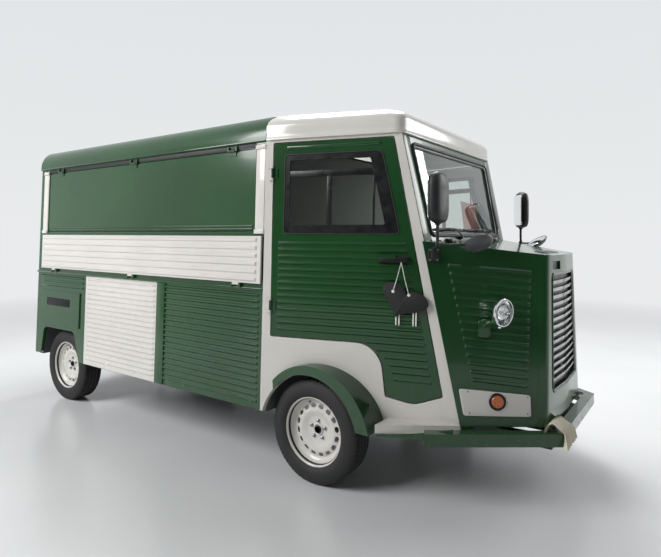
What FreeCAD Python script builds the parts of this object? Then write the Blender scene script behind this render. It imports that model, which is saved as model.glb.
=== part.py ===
import FreeCAD, Part
import math
import os

import Sketcher

# A corrugated-panel delivery van fitted out as a food truck.
# Millimetres. X runs forward, Y to the truck's left, Z up; the origin is on the ground
# under the middle of the truck's outer box. The serving hatch is on the right side.

SIZES = {
    # whole truck
    "frontAxleX": 981.5, "wheelBase": 2854, "fitGap": 0.3, "swingGap": 6, "overrun": 60,
    # wheels and tyres
    "tyreRadius": 317, "tyreWidth": 190, "tyreShoulder": 18, "treadHalf": 74, "sidewallRound": 26,
    "sidewallFall": 2, "shoulderFall": 8, "shoulderDrop": 5,
    "bulgeRadius": 262, "wheelFaceHalf": 965,
    "flangeRadius": 208, "flangeOut": 80, "barrelRadius": 196, "wellRadius": 168, "wellOut": 22,
    "rimSkin": 6, "discOut": 34, "dishOut": 16, "dishRadius": 78, "crownRadius": 124, "ventRing": 149,
    "ventRadius": 10, "ventCount": 16, "hubCapRadius": 30, "hubCapLength": 26, "lugRing": 54,
    "lugRadius": 9, "lugHeight": 12, "lugCount": 5, "stubRadius": 18,
    # axles, knuckles and springs
    "kingpinHalf": 852, "kingpinRadius": 10, "sleeveRadius": 24, "sleeveHalf": 44, "yokeArm": 14, "yokeRound": 20,
    "yokeBack": 18, "yokeReach": 30, "hubBossRadius": 34, "beamRadius": 25, "beamHeight": 262,
    "endPlate": 20, "endPlateLength": 90, "springLength": 760, "springWidth": 60, "springDepth": 30,
    # chassis and floor
    "railHalf": 360, "railWidth": 60, "railBottom": 325, "floorTop": 400, "floorSkin": 15,
    "crossMember": 70, "railFront": 1262, "wellSkin": 8, "frontWellHalf": 598, "rearWellHalf": 742,
    "frontWellLength": 352, "rearWellLength": 350, "wellTop": 700,
    # side walls
    "groundHalf": 1033.5, "sideLean": 0.026, "wallSkin": 30, "boxRearBack": 3280, "boxFrontBack": 360,
    "sillHeight": 400, "beltHeight": 1172, "gutterHeight": 2146, "ribDepth": 8, "ribWidth": 24,
    "ribDraft": 45, "panelGap": 3,
    # serving hatch and counter
    "hatchRearBack": 3126, "hatchFrontBack": 450, "hatchLow": 1545, "hatchHigh": 2096,
    "counterRearBack": 3190, "counterFrontBack": 377, "counterLow": 1206, "counterHigh": 1515,
    "counterSkin": 14, "counterRibs": 6, "counterRibWidth": 30, "stripWidth": 82, "stripSkin": 4,
    "stripLow": 1530, "stripHigh": 2118, "ledgeHeight": 18, "ledgeDepth": 10,
    # lower right panels
    "quarterFrontBack": 2445, "serviceFrontBack": 1438, "lowerFrontBack": 376, "rearArchHigh": 655,
    "rearArchFootShare": 0.93, "rearArchRearBack": 3184, "rearArchFrontBack": 2524, "archRound": 60,
    "bayLow": 690, "bayHigh": 1000, "bayEdge": 80, "bayProud": 10, "ventLow": 838, "ventHigh": 902,
    "ventRearBack": 3066, "ventFrontBack": 2690, "ventSlats": 4, "serviceRibs": 18, "lowerRibs": 19,
    "ribInset": 34, "quarterRibs": 3, "ribPitch": 41,
    # rear wall and its doors
    "rearSill": 440, "rearSplit": 1240, "rearHead": 2070, "rearOpeningHalf": 860, "rearSkin": 30,
    "rearRound": 40, "latchSize": 46, "latchOut": 24,
    # roof
    "roofSkin": 25, "gutterOut": 12, "shoulderHalf": 905, "shoulderHeight": 2306, "crownHeight": 2358,
    "cabRoofLow": 2135, "cabRoofFace": 2238, "cabRoofBend": 2292, "cabRoofUpper": 2332, "cabRoofTop": 2360,
    "faceInset": 12, "bendInset": 55, "upperInset": 165, "topInset": 330, "cabRoofLip": 10,
    # cab sides and doors
    "cabRearBack": 330, "cabTaper": 0.279, "pillarTop": 500, "pillarRake": 0.209, "cabHead": 2135,
    "noseBottom": 460, "frontArchRadius": 355, "doorRearBack": 307, "doorHead": 2118, "doorBack": 876,
    "doorFrontTop": 456, "doorArchX": 388, "doorArchRound": 165, "doorToeX": 425, "doorToe": 574,
    "doorFrontX": 752, "doorFrontLow": 604, "doorSagX": 590, "doorSagLow": 545, "doorRound": 14,
    "sagRound": 160, "windowRearBack": 218, "windowFrontTop": 376, "windowFrontLow": 486,
    "windowHigh": 2026, "windowLow": 1540, "windowRound": 26, "glassSkin": 6, "glassInset": 10,
    "doorRibTop": 1471, "doorRibs": 14, "doorRibPitch": 41.5, "shortRibs": 6, "doorRibEnd": 46,
    "handleLength": 130, "handleHeight": 22, "handleOut": 34, "handleZ": 1382, "handleX": 420,
    "pillarTrim": 40, "pillarTrimOut": 4,
    # windscreen
    "screenHigh": 2080, "screenLow": 1530, "screenTopHalf": 640, "screenLowHalf": 602, "screenRound": 42,
    "cowlHeight": 1492, "frameSkin": 30, "cowlDepth": 42,
    # nose
    "noseTaper": 0.7133, "noseLean": 0.1118, "noseGroundHalf": 765, "noseAnchor": 845, "noseSkin": 20,
    "noseFrontTopX": 1231, "noseFrontLowX": 1253, "noseTopFront": 1412, "noseRibs": 15,
    "noseRibPitch": 45.3, "noseRibTop": 1352, "noseRibFall": 37, "noseRibRear": 96, "noseRibFront": 1152,
    "signalLow": 531, "signalHigh": 674, "signalRear": 862, "signalFront": 1169, "signalProud": 5,
    "grilleHigh": 1292, "grilleLow": 637, "grilleTopHalf": 263, "grilleLowHalf": 300, "grilleRound": 20,
    "grilleSlats": 14, "slatWidth": 16, "slatDepth": 14, "grilleSkin": 8, "grilleBar": 26,
    "bonnetSkin": 20, "lidSkin": 3, "lidGap": 8, "lidInset": 13,
    # fenders and steps
    "fenderLipHalf": 1004, "fenderShift": 24, "fenderRadius": 415, "fenderSkin": 12, "fenderFoot": 402,
    "stepOuterX": 452, "stepOuterHalf": 966, "stepLow": 412, "stepSkin": 48,
    # bumper
    "bumperFrontX": 1338, "bumperCorner": 470, "bumperTailX": 730, "bumperTailHalf": 914,
    "bumperLow": 383, "bumperHigh": 452, "bumperDepth": 60,
    # lamps
    "lampRadius": 78, "lampLength": 90, "lampX": 1090, "lampHeight": 1100, "lampHalf": 588,
    "lampStalk": 9, "lampBoss": 24, "indicatorRadius": 42, "indicatorOut": 16, "indicatorX": 1013, "indicatorHeight": 597,
    "tailWidth": 70, "tailHeight": 170, "tailOut": 18, "tailHalf": 930, "tailLow": 620,
    # mirrors
    "mirrorX": 752, "mirrorHalf": 800, "mirrorLow": 1592, "mirrorHigh": 1872, "mirrorWidth": 136,
    "mirrorDepth": 58, "mirrorRound": 26, "armRadius": 8, "armFootX": 690, "armFootHeight": 1412,
    "armFootSize": 74, "armFootSkin": 8, "wideX": 800, "wideHalf": 560, "wideHeight": 1478,
    # cab fittings
    "seatRearBack": 300, "seatLength": 470, "seatWidth": 440, "seatCentre": 340, "seatLow": 705,
    "seatHeight": 130, "backHeight": 620, "backSkin": 110, "dashDepth": 250, "dashRound": 30,
    "dashLow": 1180, "dashHigh": 1440, "dashHalf": 600, "columnRadius": 18, "steerRadius": 205,
    "steerTube": 14, "steerX": 150, "steerHeight": 1380, "steerTilt": 50, "steerCentre": 340,
    "steerHub": 44, "steerSpoke": 9, "columnLength": 320,
    # engine
    "engineRear": 885, "engineLength": 310, "engineHalf": 280, "engineHeight": 520,
    # hinges
    "pinRadius": 5, "hingeRadius": 9, "hingeOut": 12, "hingeLength": 60, "lugLength": 16, "hingeGap": 1,
    "leafSkin": 4, "leafReach": 34,
}


class Size(float):
    # A length that remembers the sheet formula it came from.
    def __new__(cls, value, formula=None):
        made = float.__new__(cls, value)
        made.formula = formula if formula is not None else repr(float(value))
        return made

    def __add__(self, other):
        return Size(float(self) + float(other), f"({self.formula} + {formulaOf(other)})")

    def __radd__(self, other):
        return Size(float(other) + float(self), f"({formulaOf(other)} + {self.formula})")

    def __sub__(self, other):
        return Size(float(self) - float(other), f"({self.formula} - {formulaOf(other)})")

    def __rsub__(self, other):
        return Size(float(other) - float(self), f"({formulaOf(other)} - {self.formula})")

    def __mul__(self, other):
        return Size(float(self) * float(other), f"({self.formula} * {formulaOf(other)})")

    __rmul__ = __mul__

    def __truediv__(self, other):
        return Size(float(self) / float(other), f"({self.formula} / {formulaOf(other)})")

    def __neg__(self):
        return Size(-float(self), f"(-({self.formula}))")


def formulaOf(value):
    return value.formula if isinstance(value, Size) else repr(float(value))


def root(value):
    return Size(math.sqrt(value), f"sqrt({formulaOf(value)})")


class Named:
    pass


d = Named()
doc = FreeCAD.newDocument("FoodTruck")
sheet = doc.addObject("Spreadsheet::Sheet", "Sizes")
for row, (alias, number) in enumerate(SIZES.items(), start=1):
    sheet.set(f"A{row}", alias)
    sheet.set(f"B{row}", str(number))
    sheet.setAlias(f"B{row}", alias)
    setattr(d, alias, Size(number, f"Sizes.{alias}"))
doc.recompute()

RIGHT, LEFT = -1, 1
nodes = {}


def node(name, made):
    made.Label = name
    nodes[name] = made
    return made


def bind(made, prop, value):
    setattr(made, prop, float(value))
    if isinstance(value, Size):
        made.setExpression(prop, value.formula)


def turn(axis, degrees):
    return FreeCAD.Rotation(FreeCAD.Vector(*axis), degrees)


def spot(x, y, z, rotation=None):
    return FreeCAD.Placement(FreeCAD.Vector(x, y, z), rotation or FreeCAD.Rotation())


# Sketches

def addLoop(made, corners):
    # A closed outline of (u, v) or (u, v, radius) corners, each tied to its formulas.
    count = len(corners)
    points = [FreeCAD.Vector(c[0], c[1], 0) for c in corners]
    radii = [c[2] if len(c) > 2 else None for c in corners]
    entry, leave = [], []
    for i, point in enumerate(points):
        back = (points[i - 1] - point).normalize()
        ahead = (points[(i + 1) % count] - point).normalize()
        reach = 0
        if radii[i] is not None:
            half = back.getAngle(ahead) / 2
            reach = float(radii[i]) / math.tan(half)
        entry.append(point + back * reach)
        leave.append(point + ahead * reach)
    lines, arcs = [], {}
    for i in range(count):
        line = Part.LineSegment(leave[i], entry[(i + 1) % count])
        lines.append(made.addGeometry(line, False))
    for i, radius in enumerate(radii):
        if radius is None:
            continue
        inside = ((entry[i] - points[i]).normalize() + (leave[i] - points[i]).normalize()).normalize()
        half = (entry[i] - points[i]).getAngle(leave[i] - points[i]) / 2
        centre = points[i] + inside * (float(radius) / math.sin(half))
        first = math.atan2(entry[i].y - centre.y, entry[i].x - centre.x)
        last = math.atan2(leave[i].y - centre.y, leave[i].x - centre.x)
        cross = (entry[i] - centre).cross(leave[i] - centre).z
        circle = Part.Circle(centre, FreeCAD.Vector(0, 0, 1), float(radius))
        turnsLeft = cross > 0
        arc = Part.ArcOfCircle(circle, first, last) if turnsLeft else Part.ArcOfCircle(circle, last, first)
        arcs[i] = (made.addGeometry(arc, False), 1 if turnsLeft else 2, 2 if turnsLeft else 1)
    for i in range(count):
        if i not in arcs:
            made.addConstraint(Sketcher.Constraint("Coincident", lines[i - 1], 2, lines[i], 1))
            tieCorner(made, lines[i], 1, corners[i])
            continue
        arc, first, last = arcs[i]
        corner = made.addGeometry(Part.Point(points[i]), True)
        tieCorner(made, corner, 1, corners[i])
        made.addConstraint(Sketcher.Constraint("PointOnObject", corner, 1, lines[i - 1]))
        made.addConstraint(Sketcher.Constraint("PointOnObject", corner, 1, lines[i]))
        made.addConstraint(Sketcher.Constraint("Tangent", lines[i - 1], 2, arc, first))
        made.addConstraint(Sketcher.Constraint("Tangent", arc, last, lines[i], 1))
        tie(made, Sketcher.Constraint("Radius", arc, float(radii[i])), radii[i])


def tie(made, constraint, value):
    index = made.addConstraint(constraint)
    if isinstance(value, Size):
        made.setExpression(f"Constraints[{index}]", value.formula)


def tieCorner(made, geometry, end, corner):
    tie(made, Sketcher.Constraint("DistanceX", -1, 1, geometry, end, float(corner[0])), corner[0])
    tie(made, Sketcher.Constraint("DistanceY", -1, 1, geometry, end, float(corner[1])), corner[1])


def addRing(made, u, v, radius):
    circle = made.addGeometry(Part.Circle(FreeCAD.Vector(u, v, 0), FreeCAD.Vector(0, 0, 1), float(radius)), False)
    tieCorner(made, circle, 3, (u, v))
    tie(made, Sketcher.Constraint("Radius", circle, float(radius)), radius)


def sketch(body, plane, loops, lift=0):
    made = body.newObject("Sketcher::SketchObject", "Outline")
    origin = next(f for f in body.Origin.OriginFeatures if f.Role == plane)
    made.AttachmentSupport = (origin, [""])
    made.MapMode = "FlatFace"
    if lift:
        made.AttachmentOffset = spot(0, 0, lift)
        made.setExpression("AttachmentOffset.Base.z", formulaOf(lift))
    for loop in loops:
        if isinstance(loop, tuple):
            addRing(made, *loop)
        else:
            addLoop(made, loop)
    return made


def newBody(name):
    made = doc.addObject("PartDesign::Body", name)
    return made


def pad(body, outline, length, reverse=False, draft=None, both=False):
    made = body.newObject("PartDesign::Pad", "Pad")
    made.Profile = outline
    bind(made, "Length", length)
    made.Reversed = reverse
    made.Midplane = both
    if draft is not None:
        bind(made, "TaperAngle", -draft)
    outline.Visibility = False
    return made


def pocket(body, outline, length, reverse=False, both=False):
    made = body.newObject("PartDesign::Pocket", "Pocket")
    made.Profile = outline
    bind(made, "Length", length)
    made.Reversed = reverse
    made.Midplane = both
    return made


def revolve(body, outline, axis):
    made = body.newObject("PartDesign::Revolution", "Revolution")
    made.Profile = outline
    made.ReferenceAxis = (outline, [axis])
    made.Angle = FULL_TURN
    return made


FULL_TURN = 360
HALF_TURN = 180
QUARTER_TURN = 90


def ringPattern(body, feature, outline, count):
    made = body.newObject("PartDesign::PolarPattern", "PolarPattern")
    made.Originals = [feature]
    made.Axis = (outline, ["N_Axis"])
    made.Angle = FULL_TURN
    made.Occurrences = int(count)
    made.setExpression("Occurrences", count.formula)
    body.Tip = made
    return made


# Primitives

def box(x, y, z, length, width, height, name="Block"):
    made = doc.addObject("Part::Box", name)
    bind(made, "Length", length)
    bind(made, "Width", width)
    bind(made, "Height", height)
    made.Placement = spot(x, y, z)
    return made


def rod(x, y, z, radius, length, axis, name="Rod"):
    # A cylinder from (x, y, z) along an axis given as a unit vector.
    made = doc.addObject("Part::Cylinder", name)
    bind(made, "Radius", radius)
    bind(made, "Height", length)
    made.Placement = spot(x, y, z, FreeCAD.Rotation(FreeCAD.Vector(0, 0, 1), FreeCAD.Vector(*axis)))
    return made


def fuse(name, *shapes):
    made = doc.addObject("Part::MultiFuse", name)
    made.Shapes = list(shapes)
    return made


def cut(name, base, *tools):
    made = doc.addObject("Part::Cut", name)
    made.Base = base
    made.Tool = tools[0] if len(tools) == 1 else fuse(name + "Tools", *tools)
    return made


def gather(name, *shapes):
    # Like pieces of one body that don't touch each other.
    made = doc.addObject("Part::Compound", name)
    made.Links = list(shapes)
    return made


def common(name, base, tool):
    made = doc.addObject("Part::Common", name)
    made.Base = base
    made.Tool = tool
    return made


def shaped(name, shape, placement=None):
    made = doc.addObject("Part::Feature", name)
    made.Shape = shape
    if placement:
        made.Placement = placement
    return made


def axle(x):
    # A place along the truck, given from the front axle.
    return d.frontAxleX + x


boxRear = axle(-d.boxRearBack)
boxFront = axle(-d.boxFrontBack)
rearAxleX = d.frontAxleX - d.wheelBase
wheelHeight = d.tyreRadius


# Slanting walls

class Wall:
    # A side plane of the body: local x runs forward along it, local z up it, local y = 0 is its
    # outer face. It narrows forward by its taper and upward by its lean.
    def __init__(self, side, anchorX, half, taper, lean):
        self.side = side
        self.anchorX = anchorX
        self.half = half
        self.cosTurn = 1 / root(1 + taper * taper) if taper else 1
        self.sinTurn = taper * self.cosTurn if taper else 0
        self.cosLean = one / root(one + lean * lean * self.cosTurn * self.cosTurn)
        self.sinLean = lean * self.cosTurn * self.cosLean
        turned = math.degrees(math.atan2(float(self.sinTurn), float(self.cosTurn)))
        leaned = math.degrees(math.atan2(float(self.sinLean), float(self.cosLean)))
        rotation = turn((0, 0, 1), -side * turned) * turn((1, 0, 0), side * leaned)
        self.placement = spot(anchorX, side * half, 0, rotation)

    def at(self, x, z, *radius):
        # The corner at the truck's own x and z, in the wall's sketch.
        up = z / self.cosLean
        along = (x - self.anchorX + up * self.sinTurn * self.sinLean) / self.cosTurn
        return (along, up) + radius

    def body(self, name):
        made = newBody(name)
        made.Placement = self.placement
        return made

    def inward(self):
        return self.side < 0

    def outward(self):
        return self.side > 0

    def lift(self, out):
        # How far a sketch lies off the outer face, outwards.
        return -self.side * out

    def put(self, made, along, out, up, rotation=None):
        made.Placement = self.placement * spot(along, self.side * out, up, rotation)
        return made


one = Size(1, "1")
ZERO = Size(0, "0")


def boxWall(side):
    return Wall(side, ZERO, d.groundHalf, None, d.sideLean)


def cabWall(side):
    return Wall(side, axle(-d.cabRearBack), d.groundHalf, d.cabTaper, d.sideLean)


def noseWall(side):
    return Wall(side, axle(d.noseAnchor), d.noseGroundHalf, d.noseTaper, d.noseLean)


def pillarX(z):
    # The raked front edge of the cab side, from the front axle.
    return d.pillarTop + (d.cabHead - z) * d.pillarRake


def sideHalf(z):
    return d.groundHalf - d.sideLean * z


def cabHalf(x, z):
    return sideHalf(z) - (x + d.cabRearBack) * d.cabTaper


def noseHalf(x, z):
    return d.noseGroundHalf - (x - d.noseAnchor) * d.noseTaper - d.noseLean * z


def noseFrontX(z):
    share = (z - d.noseBottom) / (d.noseTopFront - d.noseBottom)
    return d.noseFrontLowX + (d.noseFrontTopX - d.noseFrontLowX) * share


def beyond(wall, out, outward=True):
    # Everything on one side of a wall's plane, at a distance out from its outer face.
    made = doc.addObject("Part::Box", "Beyond")
    bind(made, "Length", d.wheelBase * 2)
    bind(made, "Width", d.groundHalf)
    bind(made, "Height", d.wheelBase * 2)
    start = {(1, True): out, (-1, True): out + d.groundHalf, (1, False): out - d.groundHalf,
             (-1, False): out}[(wall.side, outward)]
    return wall.put(made, -d.wheelBase, start, -d.wheelBase / 2)


def pillarPlane():
    # The raked plane of the windscreen: local x runs forward from it.
    rake = math.degrees(math.atan(d.pillarRake))
    return spot(axle(pillarX(d.cabHead)) + d.cabHead * d.pillarRake, 0, 0, turn((0, 1, 0), -rake))


def slab(place, x, depth):
    # A thick upright slab across the truck, from local x on, used to trim against a plane.
    made = doc.addObject("Part::Box", "Slab")
    bind(made, "Length", depth)
    bind(made, "Width", d.wheelBase)
    bind(made, "Height", d.wheelBase * 2)
    made.Placement = place * spot(x, -d.wheelBase / 2, -d.wheelBase / 2)
    return made


def bar(wall, rear, front, low, high):
    # A rectangle on a wall, in the truck's x and z.
    return [wall.at(rear, low), wall.at(front, low), wall.at(front, high), wall.at(rear, high)]


def ribBars(wall, rear, front, top, pitch, count, width):
    return [bar(wall, rear, front, top - pitch * i - width / 2, top - pitch * i + width / 2)
            for i in range(count)]


# Hinges. Each has a fixed pin with two lugs and a moving sleeve with a leaf.

def hinge(wall, along, out, up, upright, movingSign, leafOut=0):
    # movingSign says on which side of the pin the moving leaf lies, along the wall.
    half = d.hingeLength / 2
    pinHalf = half + d.hingeGap + d.lugLength
    axis = (0, 0, 1) if upright else (1, 0, 0)

    def part(kind, radius, start, length):
        made = doc.addObject("Part::Cylinder", kind)
        bind(made, "Radius", radius)
        bind(made, "Height", length)
        shift = (along, up + start) if upright else (along + start, up)
        rotation = FreeCAD.Rotation(FreeCAD.Vector(0, 0, 1), FreeCAD.Vector(*axis))
        return wall.put(made, shift[0], out, shift[1], rotation)

    def plate(kind, start, length, low, reach, depth, sign):
        # A leaf from the wall's face out to depth, running away from the pin by sign.
        made = doc.addObject("Part::Box", kind)
        first = low if sign > 0 else -(low + reach)
        bind(made, "Width", depth)
        face = leafOut if wall.side > 0 else leafOut + depth
        if upright:
            bind(made, "Length", reach)
            bind(made, "Height", length)
            return wall.put(made, along + first, face, up + start)
        bind(made, "Length", length)
        bind(made, "Height", reach)
        return wall.put(made, along + start, face, up + first)

    pin = part("Pin", d.pinRadius, -pinHalf, pinHalf * 2)
    deep = out - leafOut
    reach = d.leafReach
    lugs = [plate("Lug", start, d.lugLength, -d.swingGap / 2, reach, deep + d.pinRadius, -movingSign)
            for start in (-pinHalf, half + d.hingeGap)]
    sleeve = part("Sleeve", d.hingeRadius, -half, d.hingeLength)
    bore = part("Bore", d.pinRadius + d.fitGap, -half - d.overrun, d.hingeLength + d.overrun * 2)
    clear = out - d.pinRadius - d.hingeGap - leafOut
    leaf = plate("Leaf", -half, d.hingeLength, 0, reach, clear, movingSign)
    barrel = cut("Barrel", fuse("BarrelBlank", sleeve, leaf), bore)
    return fuse("Fixed", pin, *lugs), barrel


# Wheels

def tyre(name, side, x, half):
    made = newBody(name)
    r, w = d.tyreRadius, d.tyreWidth / 2
    bead = d.barrelRadius + d.rimSkin + d.fitGap
    beadHalf = d.flangeOut - d.rimSkin - d.fitGap
    seat = d.flangeRadius + d.fitGap
    profile = [(bead, beadHalf), (seat, beadHalf), (d.bulgeRadius - d.sidewallRound, w - d.sidewallFall),
               (d.bulgeRadius, w), (d.bulgeRadius + d.sidewallRound, w - d.sidewallFall),
               (r - d.tyreShoulder, w - d.shoulderFall), (r - d.shoulderDrop, d.treadHalf + d.shoulderDrop),
               (r, d.treadHalf)]
    outline = profile + [(radius, -out) for radius, out in reversed(profile)]
    revolve(made, sketch(made, "XY_Plane", [outline]), "V_Axis")
    made.Placement = spot(x, side * half, wheelHeight)
    return node(name, made)


def rim(name, side, x, half):
    # The disc faces away from the truck, so the right side's wheels are turned about.
    made = newBody(name)
    skin = d.rimSkin
    outer = [(d.flangeRadius, d.flangeOut), (d.flangeRadius, d.flangeOut - skin), (d.barrelRadius + skin, d.flangeOut - skin),
             (d.barrelRadius + skin, d.flangeOut / 2), (d.wellRadius + skin, d.wellOut), (d.wellRadius + skin, -d.wellOut),
             (d.barrelRadius + skin, -d.flangeOut / 2), (d.barrelRadius + skin, skin - d.flangeOut),
             (d.flangeRadius, skin - d.flangeOut), (d.flangeRadius, -d.flangeOut)]
    inner = [(d.barrelRadius, -d.flangeOut), (d.barrelRadius, -d.flangeOut / 2), (d.wellRadius, -d.wellOut),
             (d.wellRadius, d.wellOut - skin), (d.crownRadius, d.discOut - skin), (d.dishRadius, d.dishOut - skin),
             (d.stubRadius + d.fitGap, d.dishOut - skin), (d.stubRadius + d.fitGap, d.dishOut + d.hubCapLength),
             (d.hubCapRadius, d.dishOut + d.hubCapLength), (d.hubCapRadius, d.dishOut), (d.dishRadius, d.dishOut),
             (d.crownRadius, d.discOut), (d.wellRadius - skin, d.wellOut), (d.barrelRadius, d.flangeOut / 2),
             (d.barrelRadius, d.flangeOut)]
    revolve(made, sketch(made, "XY_Plane", [outer + inner]), "V_Axis")
    vent = [(d.ventRadius * math.cos(math.radians(a)), d.ventRing + d.ventRadius * math.sin(math.radians(a)))
            for a in range(0, FULL_TURN, HEXAGON_STEP)]
    ventOutline = sketch(made, "XZ_Plane", [vent])
    hole = pocket(made, ventOutline, d.flangeOut * 2, both=True)
    ringPattern(made, hole, ventOutline, d.ventCount)
    nut = [(d.lugRadius * math.cos(math.radians(a)), d.lugRing + d.lugRadius * math.sin(math.radians(a)))
           for a in range(0, FULL_TURN, HEXAGON_STEP)]
    nutOutline = sketch(made, "XZ_Plane", [nut], lift=-d.dishOut)
    head = pad(made, nutOutline, d.lugHeight, reverse=True)
    ringPattern(made, head, nutOutline, d.lugCount)
    rotation = turn((0, 0, 1), 0 if side > 0 else HALF_TURN)
    made.Placement = spot(x, side * half, wheelHeight, rotation)
    return node(name, made)


HEXAGON_STEP = 60
SPOKE_START = 30


def buildWheels():
    half = d.wheelFaceHalf - d.tyreWidth / 2
    for side, word in ((RIGHT, "right"), (LEFT, "left")):
        for x, place in ((d.frontAxleX, "front"), (rearAxleX, "rear")):
            tyre(f"tyre_{place}_{word}", side, x, half)
            rim(f"rim_{place}_{word}", side, x, half)


# Axles and knuckles

def stubEnd():
    # How far out the stub reaches: to the hub cap's end.
    return d.wheelFaceHalf - d.tyreWidth / 2 + d.dishOut + d.hubCapLength / 2


def knuckle(name, side):
    x, half = d.frontAxleX, d.kingpinHalf
    sleeve = rod(x, side * half, wheelHeight - d.sleeveHalf, d.sleeveRadius, d.sleeveHalf * 2, (0, 0, 1))
    boss = rod(x, side * half, wheelHeight, d.hubBossRadius,
               d.wheelFaceHalf - d.tyreWidth / 2 + d.dishOut - d.rimSkin - d.fitGap - half, (0, side, 0))
    stub = rod(x, side * half, wheelHeight, d.stubRadius, stubEnd() - half, (0, side, 0))
    bore = rod(x, side * half, wheelHeight - d.sleeveHalf - d.overrun, d.kingpinRadius + d.fitGap,
               d.sleeveHalf * 2 + d.overrun * 2, (0, 0, 1))
    return node(name, cut(name, fuse(name + "Blank", sleeve, boss, stub), bore))


def springPack(x, side, top):
    return box(x - d.springLength / 2, side * d.railHalf - d.springWidth / 2, top - d.springDepth,
               d.springLength, d.springWidth, d.springDepth, "Spring")


def frontAxle():
    x = d.frontAxleX
    parts = [rod(x, -(d.kingpinHalf - d.yokeReach), d.beamHeight, d.beamRadius,
                 (d.kingpinHalf - d.yokeReach) * 2, (0, 1, 0))]
    reach = d.sleeveHalf + d.hingeGap
    for side in (RIGHT, LEFT):
        inner = d.kingpinHalf - d.yokeReach - d.yokeBack
        start = inner if side > 0 else -inner - d.yokeBack
        parts.append(box(x - d.sleeveRadius, start, d.beamHeight, d.sleeveRadius * 2, d.yokeBack,
                         wheelHeight - d.beamHeight + reach + d.yokeArm))
        arm = d.yokeBack + d.yokeReach
        armStart = inner if side > 0 else -inner - arm
        for low in (wheelHeight - reach - d.yokeArm, wheelHeight + reach):
            parts.append(box(x - d.yokeRound, armStart, low, d.yokeRound * 2, arm, d.yokeArm))
            parts.append(rod(x, side * d.kingpinHalf, low, d.yokeRound, d.yokeArm, (0, 0, 1)))
        parts.append(rod(x, side * d.kingpinHalf, wheelHeight - reach - d.yokeArm, d.kingpinRadius,
                         (reach + d.yokeArm) * 2, (0, 0, 1)))
        parts.append(springPack(x, side, d.railBottom))
        parts.append(box(x - d.springWidth / 2, side * d.railHalf - d.springWidth / 2, d.beamHeight,
                         d.springWidth, d.springWidth, d.railBottom - d.springDepth - d.beamHeight))
    node("front_axle", fuse("front_axle", *parts))


def rearAxle():
    x = rearAxleX
    inner = d.kingpinHalf - d.yokeReach - d.yokeBack
    parts = [rod(x, -inner, d.beamHeight, d.beamRadius, inner * 2, (0, 1, 0))]
    for side in (RIGHT, LEFT):
        start = inner if side > 0 else -inner - d.endPlate
        parts.append(box(x - d.endPlateLength / 2, start, d.beamHeight - d.beamRadius, d.endPlateLength,
                         d.endPlate, wheelHeight - d.beamHeight + d.beamRadius + d.hubBossRadius))
        parts.append(rod(x, side * inner, wheelHeight, d.hubBossRadius,
                         d.wheelFaceHalf - d.tyreWidth / 2 + d.dishOut - d.rimSkin - d.fitGap - inner, (0, side, 0)))
        parts.append(rod(x, side * inner, wheelHeight, d.stubRadius, stubEnd() - inner, (0, side, 0)))
        parts.append(springPack(x, side, d.railBottom))
        parts.append(box(x - d.springWidth / 2, side * d.railHalf - d.springWidth / 2, d.beamHeight,
                         d.springWidth, d.springWidth, d.railBottom - d.springDepth - d.beamHeight))
    node("rear_axle", fuse("rear_axle", *parts))


# Chassis and floor

def chassis():
    high = d.floorTop - d.floorSkin - d.railBottom
    rear = boxRear + d.rearSkin
    parts = []
    for side in (RIGHT, LEFT):
        parts.append(box(rear, side * d.railHalf - d.railWidth / 2, d.railBottom, axle(d.railFront) - rear,
                         d.railWidth, high, "Rail"))
    for x in (rear, rearAxleX + d.rearWellLength, (rearAxleX + d.frontAxleX) / 2,
              d.frontAxleX - d.frontWellLength - d.crossMember, axle(d.railFront) - d.crossMember):
        parts.append(box(x, -d.railHalf, d.railBottom, d.crossMember, d.railHalf * 2, high, "Cross"))
    node("chassis_frame", fuse("chassis_frame", *parts))


def cabinPrism(skin, low, high):
    # The room between the walls' inner faces, from the rear wall to the windscreen's foot.
    def section(z):
        inner = skin + skin * d.cabTaper * d.cabTaper / 2
        front = pillarX(z) + d.frameSkin
        half = [(boxRear + d.rearSkin, sideHalf(z) - skin), (axle(-d.cabRearBack), sideHalf(z) - inner),
                (axle(front), cabHalf(front, z) - inner)]
        ring = [FreeCAD.Vector(x, -y, z) for x, y in half] + [FreeCAD.Vector(x, y, z) for x, y in reversed(half)]
        return Part.makePolygon(ring + ring[:1])
    return Part.makeLoft([section(low), section(high)], True, True)


def wheelHousings(x, length, inner):
    # A wheel housing: the closed box over the tyre and the room inside it, which is cut away.
    outer, room = [], []
    for side in (RIGHT, LEFT):
        reach = d.groundHalf - inner
        start = inner if side > 0 else -d.groundHalf
        outer.append(box(x - length, start, d.floorTop - d.floorSkin, length * 2, reach, d.wellTop - d.floorTop + d.floorSkin))
        roomStart = inner + d.wellSkin if side > 0 else -d.groundHalf - d.overrun
        room.append(box(x - length + d.wellSkin, roomStart, d.floorTop - d.floorSkin - d.overrun,
                        (length - d.wellSkin) * 2, reach - d.wellSkin + d.overrun,
                        d.wellTop - d.wellSkin - d.floorTop + d.floorSkin + d.overrun))
    return outer, room


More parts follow.
